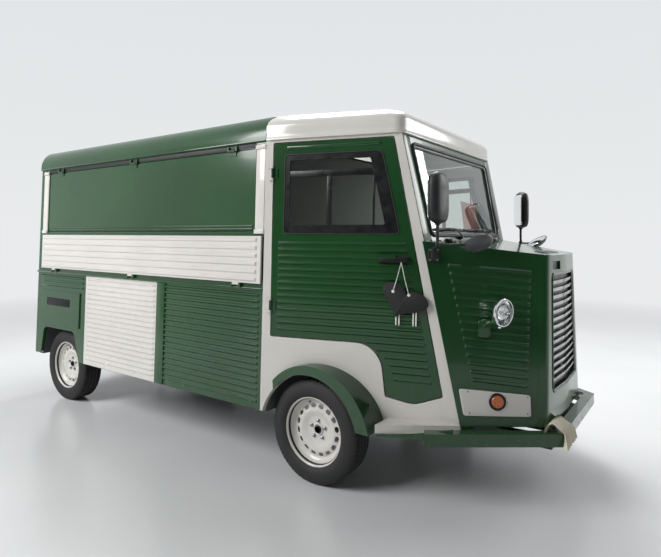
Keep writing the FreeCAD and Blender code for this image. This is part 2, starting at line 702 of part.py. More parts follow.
def floorPan():
    rear = boxRear + d.rearSkin
    plate = box(rear, -d.groundHalf, d.floorTop - d.floorSkin, axle(d.railFront) - rear,
                d.groundHalf * 2, d.floorSkin, "Plate")
    front = slab(pillarPlane(), -d.frameSkin - d.fitGap, d.wheelBase)
    housings, rooms = [], []
    for x, length, inner in ((d.frontAxleX, d.frontWellLength, d.frontWellHalf),
                             (rearAxleX, d.rearWellLength, d.rearWellHalf)):
        outer, room = wheelHousings(x, length, inner)
        housings += outer
        rooms += room
    prism = shaped("Cabin", cabinPrism(d.wallSkin + d.fitGap, d.railBottom, d.beltHeight))
    node("floor_pan", common("floor_pan", cut("FloorOpen", plate, *housings, front), prism))
    node("wheel_housings", gather("wheel_housings", *[
        common("Housing", cut("HousingOpen", outer, room), prism) for outer, room in zip(housings, rooms)]))


# Box walls

def rightFrame():
    wall = boxWall(RIGHT)
    made = wall.body("side_frame_right")
    outer = bar(wall, boxRear + d.rearSkin, boxFront, d.beltHeight, d.gutterHeight)
    hatch = bar(wall, axle(-d.hatchRearBack), axle(-d.hatchFrontBack), d.hatchLow, d.hatchHigh)
    pad(made, sketch(made, "XZ_Plane", [outer, hatch]), d.wallSkin, wall.inward())
    rearStrip = axle(-d.hatchRearBack) - d.swingGap
    strips = [bar(wall, rearStrip - d.stripWidth, rearStrip, d.stripLow, d.stripHigh),
              bar(wall, boxFront - d.stripWidth, boxFront, d.stripLow, d.stripHigh)]
    pad(made, sketch(made, "XZ_Plane", strips), d.stripSkin, wall.outward())
    return wall, made


def hatchParts():
    wall, frame = rightFrame()
    gap = d.swingGap
    rear, front = axle(-d.hatchRearBack) + gap, axle(-d.hatchFrontBack) - gap
    panel = wall.body("HatchPanel")
    pad(panel, sketch(panel, "XZ_Plane", [bar(wall, rear, front, d.hatchLow + gap, d.hatchHigh - gap)]),
        d.wallSkin, wall.inward())
    fixed, moving = [frame], [panel]
    for share in HINGE_SHARES:
        along, up = wall.at(rear + (front - rear) * share, d.hatchHigh - gap / 2)
        still, barrel = hinge(wall, along, d.hingeOut, up, False, -1)
        fixed.append(still)
        moving.append(barrel)
    node("hatch", fuse("hatch", *moving))
    rear, front = axle(-d.counterRearBack), axle(-d.counterFrontBack)
    counter = wall.body("CounterPanel")
    back = gap
    face = gap + d.counterSkin
    pad(counter, sketch(counter, "XZ_Plane", [bar(wall, rear, front, d.counterLow, d.counterHigh)],
                        wall.lift(back)), d.counterSkin, wall.outward())
    pitch = (d.counterHigh - d.counterLow) / d.counterRibs
    ribs = ribBars(wall, rear + d.ribInset, front - d.ribInset, d.counterHigh - pitch / 2, pitch,
                   int(d.counterRibs), d.counterRibWidth)
    pad(counter, sketch(counter, "XZ_Plane", ribs, wall.lift(face)), d.ribDepth, wall.outward(), d.ribDraft)
    moving = [counter]
    for share in HINGE_SHARES:
        along, up = wall.at(rear + (front - rear) * share, d.counterLow - d.hingeRadius)
        still, barrel = hinge(wall, along, back + d.counterSkin / 2, up, False, 1)
        fixed.append(still)
        moving.append(barrel)
    node("counter", fuse("counter", *moving))
    node("side_frame_right", fuse("side_frame_right", *fixed))


HINGE_SHARES = (0.08, 0.5, 0.92)
DOOR_HINGE_SHARES = (-0.34, 0.34)
GATE_HINGE_SHARES = (-0.6, 0.6)


def rearArch(wall):
    # The cut for the rear wheel: a flat-topped arch with rounded corners.
    rear, front = axle(-d.rearArchRearBack), axle(-d.rearArchFrontBack)
    lean = (front - rear) * (1 - d.rearArchFootShare)
    return [wall.at(rear, d.sillHeight), wall.at(rear + lean, d.rearArchHigh, d.archRound),
            wall.at(front - lean * 2, d.rearArchHigh, d.archRound), wall.at(front, d.sillHeight)]


def lowerPanels():
    wall = boxWall(RIGHT)
    rear = boxRear + d.rearSkin
    quarterFront = axle(-d.quarterFrontBack)
    quarter = wall.body("QuarterPanel")
    outline = [wall.at(rear, d.sillHeight)] + rearArch(wall)
    outline += [wall.at(quarterFront, d.sillHeight), wall.at(quarterFront, d.beltHeight), wall.at(rear, d.beltHeight)]
    pad(quarter, sketch(quarter, "XZ_Plane", [outline]), d.wallSkin, wall.inward())
    ribs = ribBars(wall, rear + d.ribInset, quarterFront - d.ribInset, d.beltHeight - d.ribPitch, d.ribPitch,
                   int(d.quarterRibs), d.ribWidth)
    bay = bar(wall, rear + d.bayEdge, quarterFront - d.bayEdge, d.bayLow, d.bayHigh)
    pad(quarter, sketch(quarter, "XZ_Plane", ribs), d.ribDepth, wall.outward(), d.ribDraft)
    pad(quarter, sketch(quarter, "XZ_Plane", [bay]), d.bayProud, wall.outward())
    lower = wall.body("LowerPanel")
    start, end = axle(-d.serviceFrontBack), boxFront
    pad(lower, sketch(lower, "XZ_Plane", [bar(wall, start, end, d.sillHeight, d.beltHeight)]),
        d.wallSkin, wall.inward())
    ribs = ribBars(wall, start + d.ribInset, end - d.ribInset, d.beltHeight - d.ribPitch, d.ribPitch - 1,
                   int(d.serviceRibs), d.ribWidth)
    pad(lower, sketch(lower, "XZ_Plane", ribs), d.ribDepth, wall.outward(), d.ribDraft)
    node("lower_panels_right", gather("lower_panels_right", quarter, lower))
    service = wall.body("service_panel")
    pad(service, sketch(service, "XZ_Plane", [bar(wall, quarterFront, start - d.panelGap, d.sillHeight, d.beltHeight)]),
        d.wallSkin, wall.inward())
    ribs = ribBars(wall, quarterFront + d.ribInset, start - d.ribInset, d.beltHeight - d.ribPitch, d.ribPitch - 1,
                   int(d.serviceRibs), d.ribWidth)
    pad(service, sketch(service, "XZ_Plane", ribs), d.ribDepth, wall.outward(), d.ribDraft)
    node("service_panel", service)


def leftWall():
    wall = boxWall(LEFT)
    rear = boxRear + d.rearSkin
    made = wall.body("box_side_left")
    outline = [wall.at(rear, d.sillHeight)] + rearArch(wall)
    outline += [wall.at(boxFront, d.sillHeight), wall.at(boxFront, d.gutterHeight), wall.at(rear, d.gutterHeight)]
    pad(made, sketch(made, "XZ_Plane", [outline]), d.wallSkin, wall.inward())
    ribs = []
    top = d.beltHeight - d.ribPitch
    for i in range(int(d.serviceRibs)):
        z = top - (d.ribPitch - 1) * i
        start = rear + d.ribInset if z - d.ribWidth > d.rearArchHigh else axle(-d.quarterFrontBack)
        ribs.append(bar(wall, start, boxFront - d.ribInset, z - d.ribWidth / 2, z + d.ribWidth / 2))
    pad(made, sketch(made, "XZ_Plane", ribs), d.ribDepth, wall.outward(), d.ribDraft)
    node("box_side_left", made)


def rearWall():
    made = newBody("RearFrame")
    low, high = d.sillHeight, d.gutterHeight
    outer = [(-sideHalf(low), low), (sideHalf(low), low), (sideHalf(high), high), (-sideHalf(high), high)]
    h, r = d.rearOpeningHalf, d.rearRound
    upper = [(-h, d.rearSplit, r), (h, d.rearSplit, r), (h, d.rearHead, r), (-h, d.rearHead, r)]
    low2, high2 = d.rearSill, d.rearSplit - d.rearRound
    lower = [(-h, low2, r), (h, low2, r), (h, high2, r), (-h, high2, r)]
    pad(made, sketch(made, "YZ_Plane", [outer, upper, lower]), d.rearSkin)
    made.Placement = spot(boxRear, 0, 0)
    fixed = [made]
    g = d.swingGap
    # The rear wall seen as a wall of its own: local x runs to the truck's right.
    wall = RearWall()
    gate = newBody("GatePanel")
    pad(gate, sketch(gate, "YZ_Plane", [[(-h + g, d.rearSplit + g, r - g), (h - g, d.rearSplit + g, r - g),
                                         (h - g, d.rearHead - g, r - g), (-h + g, d.rearHead - g, r - g)]]), d.rearSkin)
    gate.Placement = spot(boxRear, 0, 0)
    moving = [gate]
    for share in GATE_HINGE_SHARES:
        still, barrel = hinge(wall, h * share, d.hingeOut, d.rearHead - g / 2, False, -1)
        fixed.append(still)
        moving.append(barrel)
    node("tailgate", fuse("tailgate", *moving))
    for side, word in ((RIGHT, "right"), (LEFT, "left")):
        leafBody = newBody("RearDoor")
        near, far = side * g / 2, side * (h - g)
        outline = [(near, low2 + g), (far, low2 + g, r - g), (far, high2 - g, r - g), (near, high2 - g)]
        pad(leafBody, sketch(leafBody, "YZ_Plane", [outline]), d.rearSkin)
        leafBody.Placement = spot(boxRear, 0, 0)
        moving = [leafBody]
        for share in DOOR_HINGE_SHARES:
            up = (low2 + high2) / 2 + (high2 - low2) * share
            still, barrel = hinge(wall, -side * (h - g / 2), d.hingeOut, up, True, side)
            fixed.append(still)
            moving.append(barrel)
        node(f"rear_door_{word}", fuse(f"rear_door_{word}", *moving))
    node("rear_frame", fuse("rear_frame", *fixed))


class RearWall:
    # The rear wall's outer face: local x runs to the truck's right, outward is backward.
    side = RIGHT

    def put(self, made, along, out, up, rotation=None):
        base = spot(boxRear, 0, 0, turn((0, 0, 1), -QUARTER_TURN))
        made.Placement = base * spot(along, -out, up, rotation)
        return made


# Roofs

def roofSection(x, skin, low):
    # Half the roof's section: gutter, shoulder and crown, mirrored about the middle.
    gutter = sideHalf(d.gutterHeight) + d.gutterOut - skin
    shoulder, height = d.shoulderHalf - skin, d.shoulderHeight - skin
    crown = d.crownHeight - skin
    v = FreeCAD.Vector
    edges = [Part.LineSegment(v(x, -gutter, low), v(x, -gutter, d.gutterHeight + d.roofSkin)).toShape()]
    bend = v(x, -(gutter * 2 + shoulder) / 3, (d.gutterHeight + height * 2) / 3)
    edges.append(Part.Arc(v(x, -gutter, d.gutterHeight + d.roofSkin), bend, v(x, -shoulder, height)).toShape())
    edges.append(Part.Arc(v(x, -shoulder, height), v(x, 0, crown), v(x, shoulder, height)).toShape())
    bend = v(x, (gutter * 2 + shoulder) / 3, (d.gutterHeight + height * 2) / 3)
    edges.append(Part.Arc(v(x, shoulder, height), bend, v(x, gutter, d.gutterHeight + d.roofSkin)).toShape())
    edges.append(Part.LineSegment(v(x, gutter, d.gutterHeight + d.roofSkin), v(x, gutter, low)).toShape())
    edges.append(Part.LineSegment(v(x, gutter, low), v(x, -gutter, low)).toShape())
    return Part.Face(Part.Wire(edges))


def boxRoof():
    length = boxFront - boxRear
    outer = roofSection(boxRear, 0, d.gutterHeight).extrude(FreeCAD.Vector(length, 0, 0))
    inner = roofSection(boxRear + d.roofSkin, d.roofSkin, d.gutterHeight - d.overrun)
    inner = inner.extrude(FreeCAD.Vector(length + d.overrun, 0, 0))
    node("box_roof", cut("box_roof", shaped("RoofOuter", outer), shaped("RoofInner", inner)))


def cabRoofLoft(skin, low):
    sections = []
    for z, inset in ((low, 0), (d.cabRoofFace - skin / 2, d.faceInset), (d.cabRoofBend - skin, d.bendInset),
                     (d.cabRoofUpper - skin, d.upperInset), (d.cabRoofTop - skin, d.topInset)):
        front = d.pillarTop + d.cabRoofLip - skin - inset
        half = [(boxFront - (d.overrun if skin else 0), sideHalf(d.cabHead) + d.cabRoofLip - skin - inset),
                (axle(-d.cabRearBack), sideHalf(d.cabHead) + d.cabRoofLip - skin - inset),
                (axle(front), cabHalf(d.pillarTop, d.cabHead) + d.cabRoofLip - skin - inset)]
        ring = [FreeCAD.Vector(x, -y, z) for x, y in half] + [FreeCAD.Vector(x, y, z) for x, y in reversed(half)]
        sections.append(Part.makePolygon(ring + ring[:1]))
    return Part.makeLoft(sections, True, True)


def cabRoof():
    outer = shaped("CabRoofOuter", cabRoofLoft(ZERO, d.cabRoofLow))
    inner = shaped("CabRoofInner", cabRoofLoft(d.roofSkin, d.cabRoofLow - d.overrun))
    node("cab_roof", cut("cab_roof", outer, inner))


# Cab sides and doors

def doorRear(wall, z, gap, *radius):
    # The rear edge runs straight up the wall, so that both hinges stand on one line.
    along = wall.at(axle(-d.doorRearBack), (d.doorBack + d.doorHead) / 2)[0]
    return (along + gap, z / wall.cosLean) + radius


def doorOutline(wall, gap):
    # The door's edge, drawn in by the gap: it curves round the wheel arch at its lower rear.
    return [doorRear(wall, d.doorBack + gap, gap, d.doorRound),
            wall.at(axle(d.doorArchX) + gap, d.doorBack + gap, d.doorArchRound - gap),
            wall.at(axle(d.doorToeX) + gap, d.doorToe + gap, d.doorRound),
            wall.at(axle(d.doorSagX), d.doorSagLow + gap, d.sagRound),
            wall.at(axle(d.doorFrontX) - gap, d.doorFrontLow + gap, d.doorRound),
            wall.at(axle(d.doorFrontTop) - gap, d.doorHead - gap, d.doorRound),
            doorRear(wall, d.doorHead - gap, gap, d.doorRound)]


def windowOutline(wall, gap):
    r = d.windowRound - gap
    return [wall.at(axle(-d.windowRearBack) + gap, d.windowLow + gap, r),
            wall.at(axle(d.windowFrontLow) - gap, d.windowLow + gap, r),
            wall.at(axle(d.windowFrontTop) - gap, d.windowHigh - gap, r),
            wall.at(axle(-d.windowRearBack) + gap, d.windowHigh - gap, r)]


def doorFrontEdge(z):
    share = (d.doorHead - z) / (d.doorHead - d.doorFrontLow)
    return axle(d.doorFrontTop + (d.doorFrontX - d.doorFrontTop) * share)


def doorRibs(wall):
    ribs = []
    half = d.ribWidth / 2
    archStarts = SHORT_RIB_SHARES
    for i in range(int(d.doorRibs) + len(archStarts)):
        z = d.doorRibTop - d.doorRibPitch * i
        rear = axle(-d.doorRearBack) + d.doorRibEnd
        if i >= int(d.doorRibs):
            share = archStarts[i - int(d.doorRibs)]
            rear = rear + (axle(d.doorFrontX) - rear) * share
        front = doorFrontEdge(z) - d.doorRibEnd
        ribs.append([wall.at(rear, z - half), wall.at(front, z - half), wall.at(front, z + half), wall.at(rear, z + half)])
    return ribs


# How far forward the ribs that the arch cuts short begin, as shares of the door's length.
SHORT_RIB_SHARES = (0.55, 0.62, 0.67, 0.70, 0.715, 0.73)


def cabSideOutline(wall):
    low = d.sillHeight
    rear, front = boxFront - d.wallSkin, d.wallSkin
    return [wall.at(rear, low), wall.at(axle(d.frontArchRadius), low),
            wall.at(axle(pillarX(d.noseBottom) + front), d.noseBottom),
            wall.at(axle(pillarX(d.cabHead) + front), d.cabHead), wall.at(rear, d.cabHead)]


def cabSides():
    sides = []
    steps = cabSteps()
    for side, word, step in ((RIGHT, "right", steps[0]), (LEFT, "left", steps[1])):
        wall = cabWall(side)
        panel = wall.body("CabPanel")
        pad(panel, sketch(panel, "XZ_Plane", [cabSideOutline(wall), doorOutline(wall, ZERO)]),
            d.wallSkin, wall.inward())
        arch = rod(d.frontAxleX, side * d.frontWellHalf, wheelHeight, d.frontArchRadius, d.groundHalf, (0, side, 0))
        behind = slab(FreeCAD.Placement(), boxFront - d.wheelBase, d.wheelBase)
        panelCut = cut("CabPanelCut", panel, arch, behind, slab(pillarPlane(), 0, d.wheelBase))
        door = wall.body("DoorPanel")
        pad(door, sketch(door, "XZ_Plane", [doorOutline(wall, d.swingGap), windowOutline(wall, ZERO)]),
            d.wallSkin, wall.inward())
        pad(door, sketch(door, "XZ_Plane", doorRibs(wall)), d.ribDepth, wall.outward(), d.ribDraft)
        fixed, moving = [panelCut], [door]
        for share in DOOR_HINGE_SHARES:
            z = (d.doorBack + d.doorHead) / 2 + (d.doorHead - d.doorBack) * share
            along, up = doorRear(wall, z, d.swingGap / 2)
            still, barrel = hinge(wall, along, d.hingeOut, up, True, 1)
            fixed.append(still)
            moving.append(barrel)
        along, up = wall.at(axle(d.handleX), d.handleZ)
        lever = doc.addObject("Part::Box", "Lever")
        bind(lever, "Length", d.handleLength)
        bind(lever, "Width", d.handleOut / 2)
        bind(lever, "Height", d.handleHeight)
        wall.put(lever, along - d.handleLength / 2, d.handleOut / 2 if side > 0 else d.handleOut, up)
        shank = rod(0, 0, 0, d.handleHeight / 2, d.handleOut, (0, side, 0), "Shank")
        wall.put(shank, along + d.handleLength / 3, 0, up + d.handleHeight / 2,
                 FreeCAD.Rotation(FreeCAD.Vector(0, 0, 1), FreeCAD.Vector(0, side, 0)))
        node(f"door_{word}", fuse(f"door_{word}", *moving, lever, shank))
        glass = wall.body(f"door_glass_{word}")
        pad(glass, sketch(glass, "XZ_Plane", [windowOutline(wall, d.fitGap)], wall.lift(-d.glassInset)),
            d.glassSkin, wall.inward())
        node(f"door_glass_{word}", glass)
        sides.append(fuse("CabSide" + word, *fixed, step))
    node("cab_sides", gather("cab_sides", *sides))


# Cab front and windscreen

def cabFront():
    # One raked panel from the floor to the roof, with the windscreen's opening and a cowl strip.
    cosRake = one / root(one + d.pillarRake * d.pillarRake)
    low, high = d.floorTop, d.cabHead
    panel = newBody("FrontPanel")
    outer = [(-d.groundHalf, low / cosRake), (d.groundHalf, low / cosRake), (d.groundHalf, high / cosRake),
             (-d.groundHalf, high / cosRake)]

    def opening(gap):
        top, foot, r = d.screenTopHalf - gap, d.screenLowHalf - gap, d.screenRound - gap
        return [(-foot, (d.screenLow + gap) / cosRake, r), (foot, (d.screenLow + gap) / cosRake, r),
                (top, (d.screenHigh - gap) / cosRake, r), (-top, (d.screenHigh - gap) / cosRake, r)]
    pad(panel, sketch(panel, "YZ_Plane", [outer, opening(ZERO)]), d.frameSkin, True)
    panel.Placement = pillarPlane()
    walls = [beyond(cabWall(side), -d.wallSkin - d.fitGap) for side in (RIGHT, LEFT)]
    panel = cut("FrontPanelTrimmed", panel, *walls)
    cowl = box(0, -d.groundHalf, -d.bonnetSkin, d.cowlDepth, d.groundHalf * 2, d.bonnetSkin, "Cowl")
    cowl.Placement = bonnetPlane() * cowl.Placement
    walls = [beyond(noseWall(side), -d.noseSkin) for side in (RIGHT, LEFT)]
    cowl = cut("CowlTrimmed", cowl, slab(pillarPlane(), -d.wheelBase, d.wheelBase), *walls)
    still, lidHinges = bonnetHinges()
    node("cab_front", fuse("cab_front", panel, cowl, *still))
    glass = newBody("windscreen_glass")
    pad(glass, sketch(glass, "YZ_Plane", [opening(d.fitGap)], -d.glassInset), d.glassSkin, True)
    glass.Placement = pillarPlane()
    node("windscreen_glass", glass)
    bonnet(lidHinges)


# Nose

def topFall():
    # How much the nose's top drops for each millimetre forward.
    return (d.cowlHeight - d.noseTopFront) / (d.noseFrontTopX - pillarX(d.cowlHeight))


def topHeight(x):
    return d.cowlHeight - (x - pillarX(d.cowlHeight)) * topFall()


def bonnetPlane():
    # On top of the nose, from the windscreen's foot: local x runs forward and down the slope.
    slope = math.degrees(math.atan(topFall()))
    return spot(axle(pillarX(d.cowlHeight)), 0, d.cowlHeight, turn((0, 1, 0), slope))


class BonnetWall:
    # The bonnet's plane as a wall: local x across the truck, outward is up, local z rearward.
    side = RIGHT

    def put(self, made, along, out, up, rotation=None):
        axes = FreeCAD.Rotation(FreeCAD.Vector(0, 1, 0), FreeCAD.Vector(0, 0, -1), FreeCAD.Vector(-1, 0, 0), "XYZ")
        made.Placement = bonnetPlane() * spot(0, 0, 0, axes) * spot(along, -out, up, rotation)
        return made


def bonnetHinges():
    wall = BonnetWall()
    still, moving = [], []
    half = noseHalf(pillarX(d.cowlHeight), d.cowlHeight)
    for share in BONNET_HINGE_SHARES:
        fixed, barrel = hinge(wall, half * share, d.hingeOut, -(d.cowlDepth + d.swingGap / 2), False, -1)
        still.append(fixed)
        moving.append(barrel)
    return still, moving


BONNET_HINGE_SHARES = (-0.55, 0.55)


def bonnet(hinges):
    # The lid on top of the nose, hinged at the foot of the windscreen.
    start = d.cowlDepth + d.swingGap
    length = (d.noseFrontTopX - pillarX(d.cowlHeight) - d.noseSkin) * root(one + topFall() * topFall()) - start
    layers = []
    for name, top, depth, gap in (("LidSkin", ZERO, d.lidSkin, d.lidGap),
                                  ("LidFrame", d.lidSkin, d.bonnetSkin - d.lidSkin, d.lidGap + d.lidInset)):
        lid = box(start, -d.groundHalf, -(top + depth), length - d.swingGap, d.groundHalf * 2, depth, name)
        lid.Placement = bonnetPlane() * lid.Placement
        walls = [beyond(noseWall(side), -d.noseSkin - gap) for side in (RIGHT, LEFT)]
        layers.append(cut(name + "Trimmed", lid, *walls))
    node("bonnet", fuse("bonnet", *layers, *hinges))


def lampStalkX():
    return axle(d.lampX) - d.lampLength * 2 / 3


def noseSides():
    sides = []
    for side in (RIGHT, LEFT):
        wall = noseWall(side)
        panel = wall.body("NosePanel")
        rearLow, rearHigh = pillarX(d.noseBottom) - d.noseSkin, pillarX(d.cowlHeight) - d.noseSkin
        frontLow, frontHigh = d.noseFrontLowX + d.noseSkin, d.noseFrontTopX + d.noseSkin
        outline = [wall.at(axle(rearLow), d.noseBottom), wall.at(axle(frontLow), d.noseBottom),
                   wall.at(axle(frontHigh), topHeight(frontHigh)), wall.at(axle(rearHigh), topHeight(rearHigh))]
        pad(panel, sketch(panel, "XZ_Plane", [outline]), d.noseSkin, wall.inward())
        ribs = []
        half = d.ribWidth / 2
        for i in range(int(d.noseRibs)):
            z = d.noseRibTop - d.noseRibPitch * i
            rear = axle(pillarX(z) + d.noseRibRear)
            front = axle(d.noseRibFront)
            low = z - d.noseRibFall
            ribs.append([wall.at(rear, z - half), wall.at(front, low - half), wall.at(front, low + half),
                         wall.at(rear, z + half)])
        pad(panel, sketch(panel, "XZ_Plane", ribs), d.ribDepth, wall.outward(), d.ribDraft)
        plate = [wall.at(axle(d.signalRear), d.signalLow), wall.at(axle(d.signalFront), d.signalLow),
                 wall.at(axle(d.signalFront), d.signalHigh - d.noseRibFall), wall.at(axle(d.signalRear), d.signalHigh)]
        pad(panel, sketch(panel, "XZ_Plane", [plate]), d.signalProud, wall.outward())
        boss = wall.at(lampStalkX(), d.lampHeight) + (d.lampBoss,)
        pad(panel, sketch(panel, "XZ_Plane", [boss]), d.ribDepth, wall.outward())
        sides.append(cut("NoseSide", panel, slab(pillarPlane(), -d.wheelBase, d.wheelBase),
                         slab(nosePlane(), -d.noseSkin, d.wheelBase)))
    node("nose_sides", gather("nose_sides", *sides))


def nosePlane():
    lean = math.degrees(math.atan((d.noseFrontLowX - d.noseFrontTopX) / (d.noseTopFront - d.noseBottom)))
    return spot(axle(d.noseFrontLowX), 0, d.noseBottom, turn((0, 1, 0), -lean))


def noseFront():
    panel = newBody("NosePlate")
    height = d.noseTopFront - d.noseBottom
    outer = [(-d.groundHalf, ZERO), (d.groundHalf, ZERO), (d.groundHalf, height), (-d.groundHalf, height)]

    def opening(gap):
        t, b, r = d.grilleTopHalf - gap, d.grilleLowHalf - gap, d.grilleRound - gap
        z0, z1 = d.grilleLow - d.noseBottom + gap, d.grilleHigh - d.noseBottom - gap
        return [(-b, z0, r), (b, z0, r), (t, z1, r), (-t, z1, r)]
    pad(panel, sketch(panel, "YZ_Plane", [outer, opening(ZERO)]), d.noseSkin, True)
    panel.Placement = nosePlane()
    node("nose_front", cut("nose_front", panel, *[beyond(noseWall(side), 0) for side in (RIGHT, LEFT)]))
    grille = newBody("grille")
    back = d.noseSkin - d.grilleSkin
    pad(grille, sketch(grille, "YZ_Plane", [opening(d.fitGap)], -back), d.grilleSkin, True)
    pitch = (d.grilleHigh - d.grilleLow) / (d.grilleSlats + 1)
    slats = []
    for i in range(int(d.grilleSlats)):
        z = d.grilleLow - d.noseBottom + pitch * (i + 1)
        half = d.grilleLowHalf + (d.grilleTopHalf - d.grilleLowHalf) * (i + 1) / (d.grilleSlats + 1) - d.grilleBar
        slats.append([(-half, z - d.slatWidth / 2), (half, z - d.slatWidth / 2), (half, z + d.slatWidth / 2),
                      (-half, z + d.slatWidth / 2)])
    pad(grille, sketch(grille, "YZ_Plane", slats, -back), d.slatDepth)
    grille.Placement = nosePlane()
    node("grille", grille)


# Fenders, steps and bumper

def fenders():
    made = []
    for side in (RIGHT, LEFT):
        centre = d.frontAxleX + d.fenderShift
        far = d.fenderLipHalf
        drum = rod(centre, side * far, wheelHeight, d.fenderRadius, far, (0, -side, 0), "Drum")
        room = rod(centre, side * (far - d.fenderSkin), wheelHeight, d.fenderRadius - d.fenderSkin, far, (0, -side, 0))
        mouth = rod(d.frontAxleX, side * (far + d.overrun), wheelHeight, d.frontArchRadius, far, (0, -side, 0))
        base = box(centre - d.fenderRadius * 2, -far * 2, d.fenderFoot - d.fenderRadius * 2,
                   d.fenderRadius * 4, far * 4, d.fenderRadius * 2)
        rear = box(boxRear, -far * 2, -d.groundHalf, boxFront + d.swingGap - boxRear, far * 4, d.gutterHeight * 2)
        inside = beyond(cabWall(side), 0, False)
        made.append(cut("Fender", drum, room, mouth, base, rear, inside))
    node("front_fenders", gather("front_fenders", *made))


def cabSteps():
    made = []
    for side in (RIGHT, LEFT):
        x0, x1 = axle(d.stepOuterX), axle(pillarX(d.noseBottom))
        half = cabHalf(pillarX(d.noseBottom), d.noseBottom)
        step = newBody("Step")
        outline = [(x0, side * cabHalf(d.stepOuterX, d.stepLow)), (x1, side * half), (x0, side * d.stepOuterHalf)]
        pad(step, sketch(step, "XY_Plane", [outline]), d.stepSkin)
        step.Placement = spot(0, 0, d.stepLow)
        made.append(cut("StepTrimmed", step, beyond(cabWall(side), 0, False)))
    return made


def bumper():
    made = newBody("bumper")
    t = d.bumperDepth
    outer = [(axle(d.bumperTailX), d.bumperTailHalf), (axle(d.bumperFrontX), d.bumperCorner)]
    inner = [(axle(d.bumperTailX) - t / 2, d.bumperTailHalf - t), (axle(d.bumperFrontX) - t, d.bumperCorner - t / 2)]
    outline = [outer[0], outer[1], (outer[1][0], -outer[1][1]), (outer[0][0], -outer[0][1]),
               (inner[0][0], -inner[0][1]), (inner[1][0], -inner[1][1]), inner[1], inner[0]]
    pad(made, sketch(made, "XY_Plane", [outline]), d.bumperHigh - d.bumperLow)
    made.Placement = spot(0, 0, d.bumperLow)
    brackets = [box(axle(d.railFront), side * d.railHalf - d.railWidth / 2, d.bumperLow,
                    d.bumperFrontX - d.bumperDepth / 2 - d.railFront, d.railWidth, d.bumperHigh - d.bumperLow)
                for side in (RIGHT, LEFT)]
    node("bumper", fuse("bumper", made, *brackets))


# Lamps and mirrors

def lamps():
    heads, signals, tails = [], [], []
    for side in (RIGHT, LEFT):
        bowl = newBody("Lamp")
        r, n = d.lampRadius, d.lampLength
        outline = [(ZERO, ZERO), (ZERO, n), (r, n, d.lampStalk), (r, n * 3 / 4), (r / 3, ZERO)]
        revolve(bowl, sketch(bowl, "XZ_Plane", [outline]), "V_Axis")
        bowl.Placement = spot(axle(d.lampX) - d.lampLength, side * d.lampHalf, d.lampHeight, turn((0, 1, 0), QUARTER_TURN))
        wallHalf = noseHalf(d.lampX - d.lampLength / 2, d.lampHeight)
        stalk = rod(lampStalkX(), side * d.lampHalf, d.lampHeight, d.lampStalk,
                    d.lampHalf - wallHalf + d.lampStalk, (0, -side, 0))
        wall = noseWall(side)
        heads.append(fuse("HeadLamp", bowl, cut("Stalk", stalk, beyond(wall, d.ribDepth, False))))
        along, up = wall.at(axle(d.indicatorX), d.indicatorHeight)
        disc = doc.addObject("Part::Cone", "Indicator")
        bind(disc, "Radius1", d.indicatorRadius)
        bind(disc, "Radius2", d.indicatorRadius * 3 / 4)
        bind(disc, "Height", d.indicatorOut)
        rotation = FreeCAD.Rotation(FreeCAD.Vector(0, 0, 1), FreeCAD.Vector(0, side, 0))
        signals.append(wall.put(disc, along, d.signalProud, up, rotation))
        tails.append(box(boxRear - d.tailOut, side * d.tailHalf - d.tailWidth / 2, d.tailLow, d.tailOut,
                         d.tailWidth, d.tailHeight, "TailLamp"))
    node("headlamps", gather("headlamps", *heads))
    node("indicators", gather("indicators", *signals))
    node("tail_lamps", gather("tail_lamps", *tails))


def mirrors():
    made = []
    for side in (RIGHT, LEFT):
        head = newBody("MirrorHead")
        w, low, high, r = d.mirrorWidth / 2, d.mirrorLow, d.mirrorHigh, d.mirrorRound
        pad(head, sketch(head, "YZ_Plane", [[(-w, low, r), (w, low, r), (w, high, r), (-w, high, r)]]), d.mirrorDepth, both=True)
        head.Placement = spot(axle(d.mirrorX), side * d.mirrorHalf, 0)
        wall = noseWall(side)
        along, up = wall.at(axle(d.armFootX), d.armFootHeight)
        foot = doc.addObject("Part::Box", "Foot")
        bind(foot, "Length", d.armFootSize)
        bind(foot, "Width", d.armFootSkin)
        bind(foot, "Height", d.armFootSize)
        wall.put(foot, along - d.armFootSize / 2, 0 if side > 0 else d.armFootSkin, up - d.armFootSize / 2)
        half = noseHalf(d.armFootX, d.armFootHeight)
        start = FreeCAD.Vector(axle(d.armFootX), side * half, d.armFootHeight)
        end = FreeCAD.Vector(axle(d.mirrorX), side * d.mirrorHalf, d.mirrorLow + d.mirrorRound)
        path = end - start
        arm = rod(start.x, start.y, start.z, d.armRadius, Size(path.Length), (path.x, path.y, path.z))
        made.append(fuse("Mirror", head, foot, cut("Arm", arm, beyond(wall, 0, False))))
    node("mirrors", gather("mirrors", *made))


# Cab fittings and engine

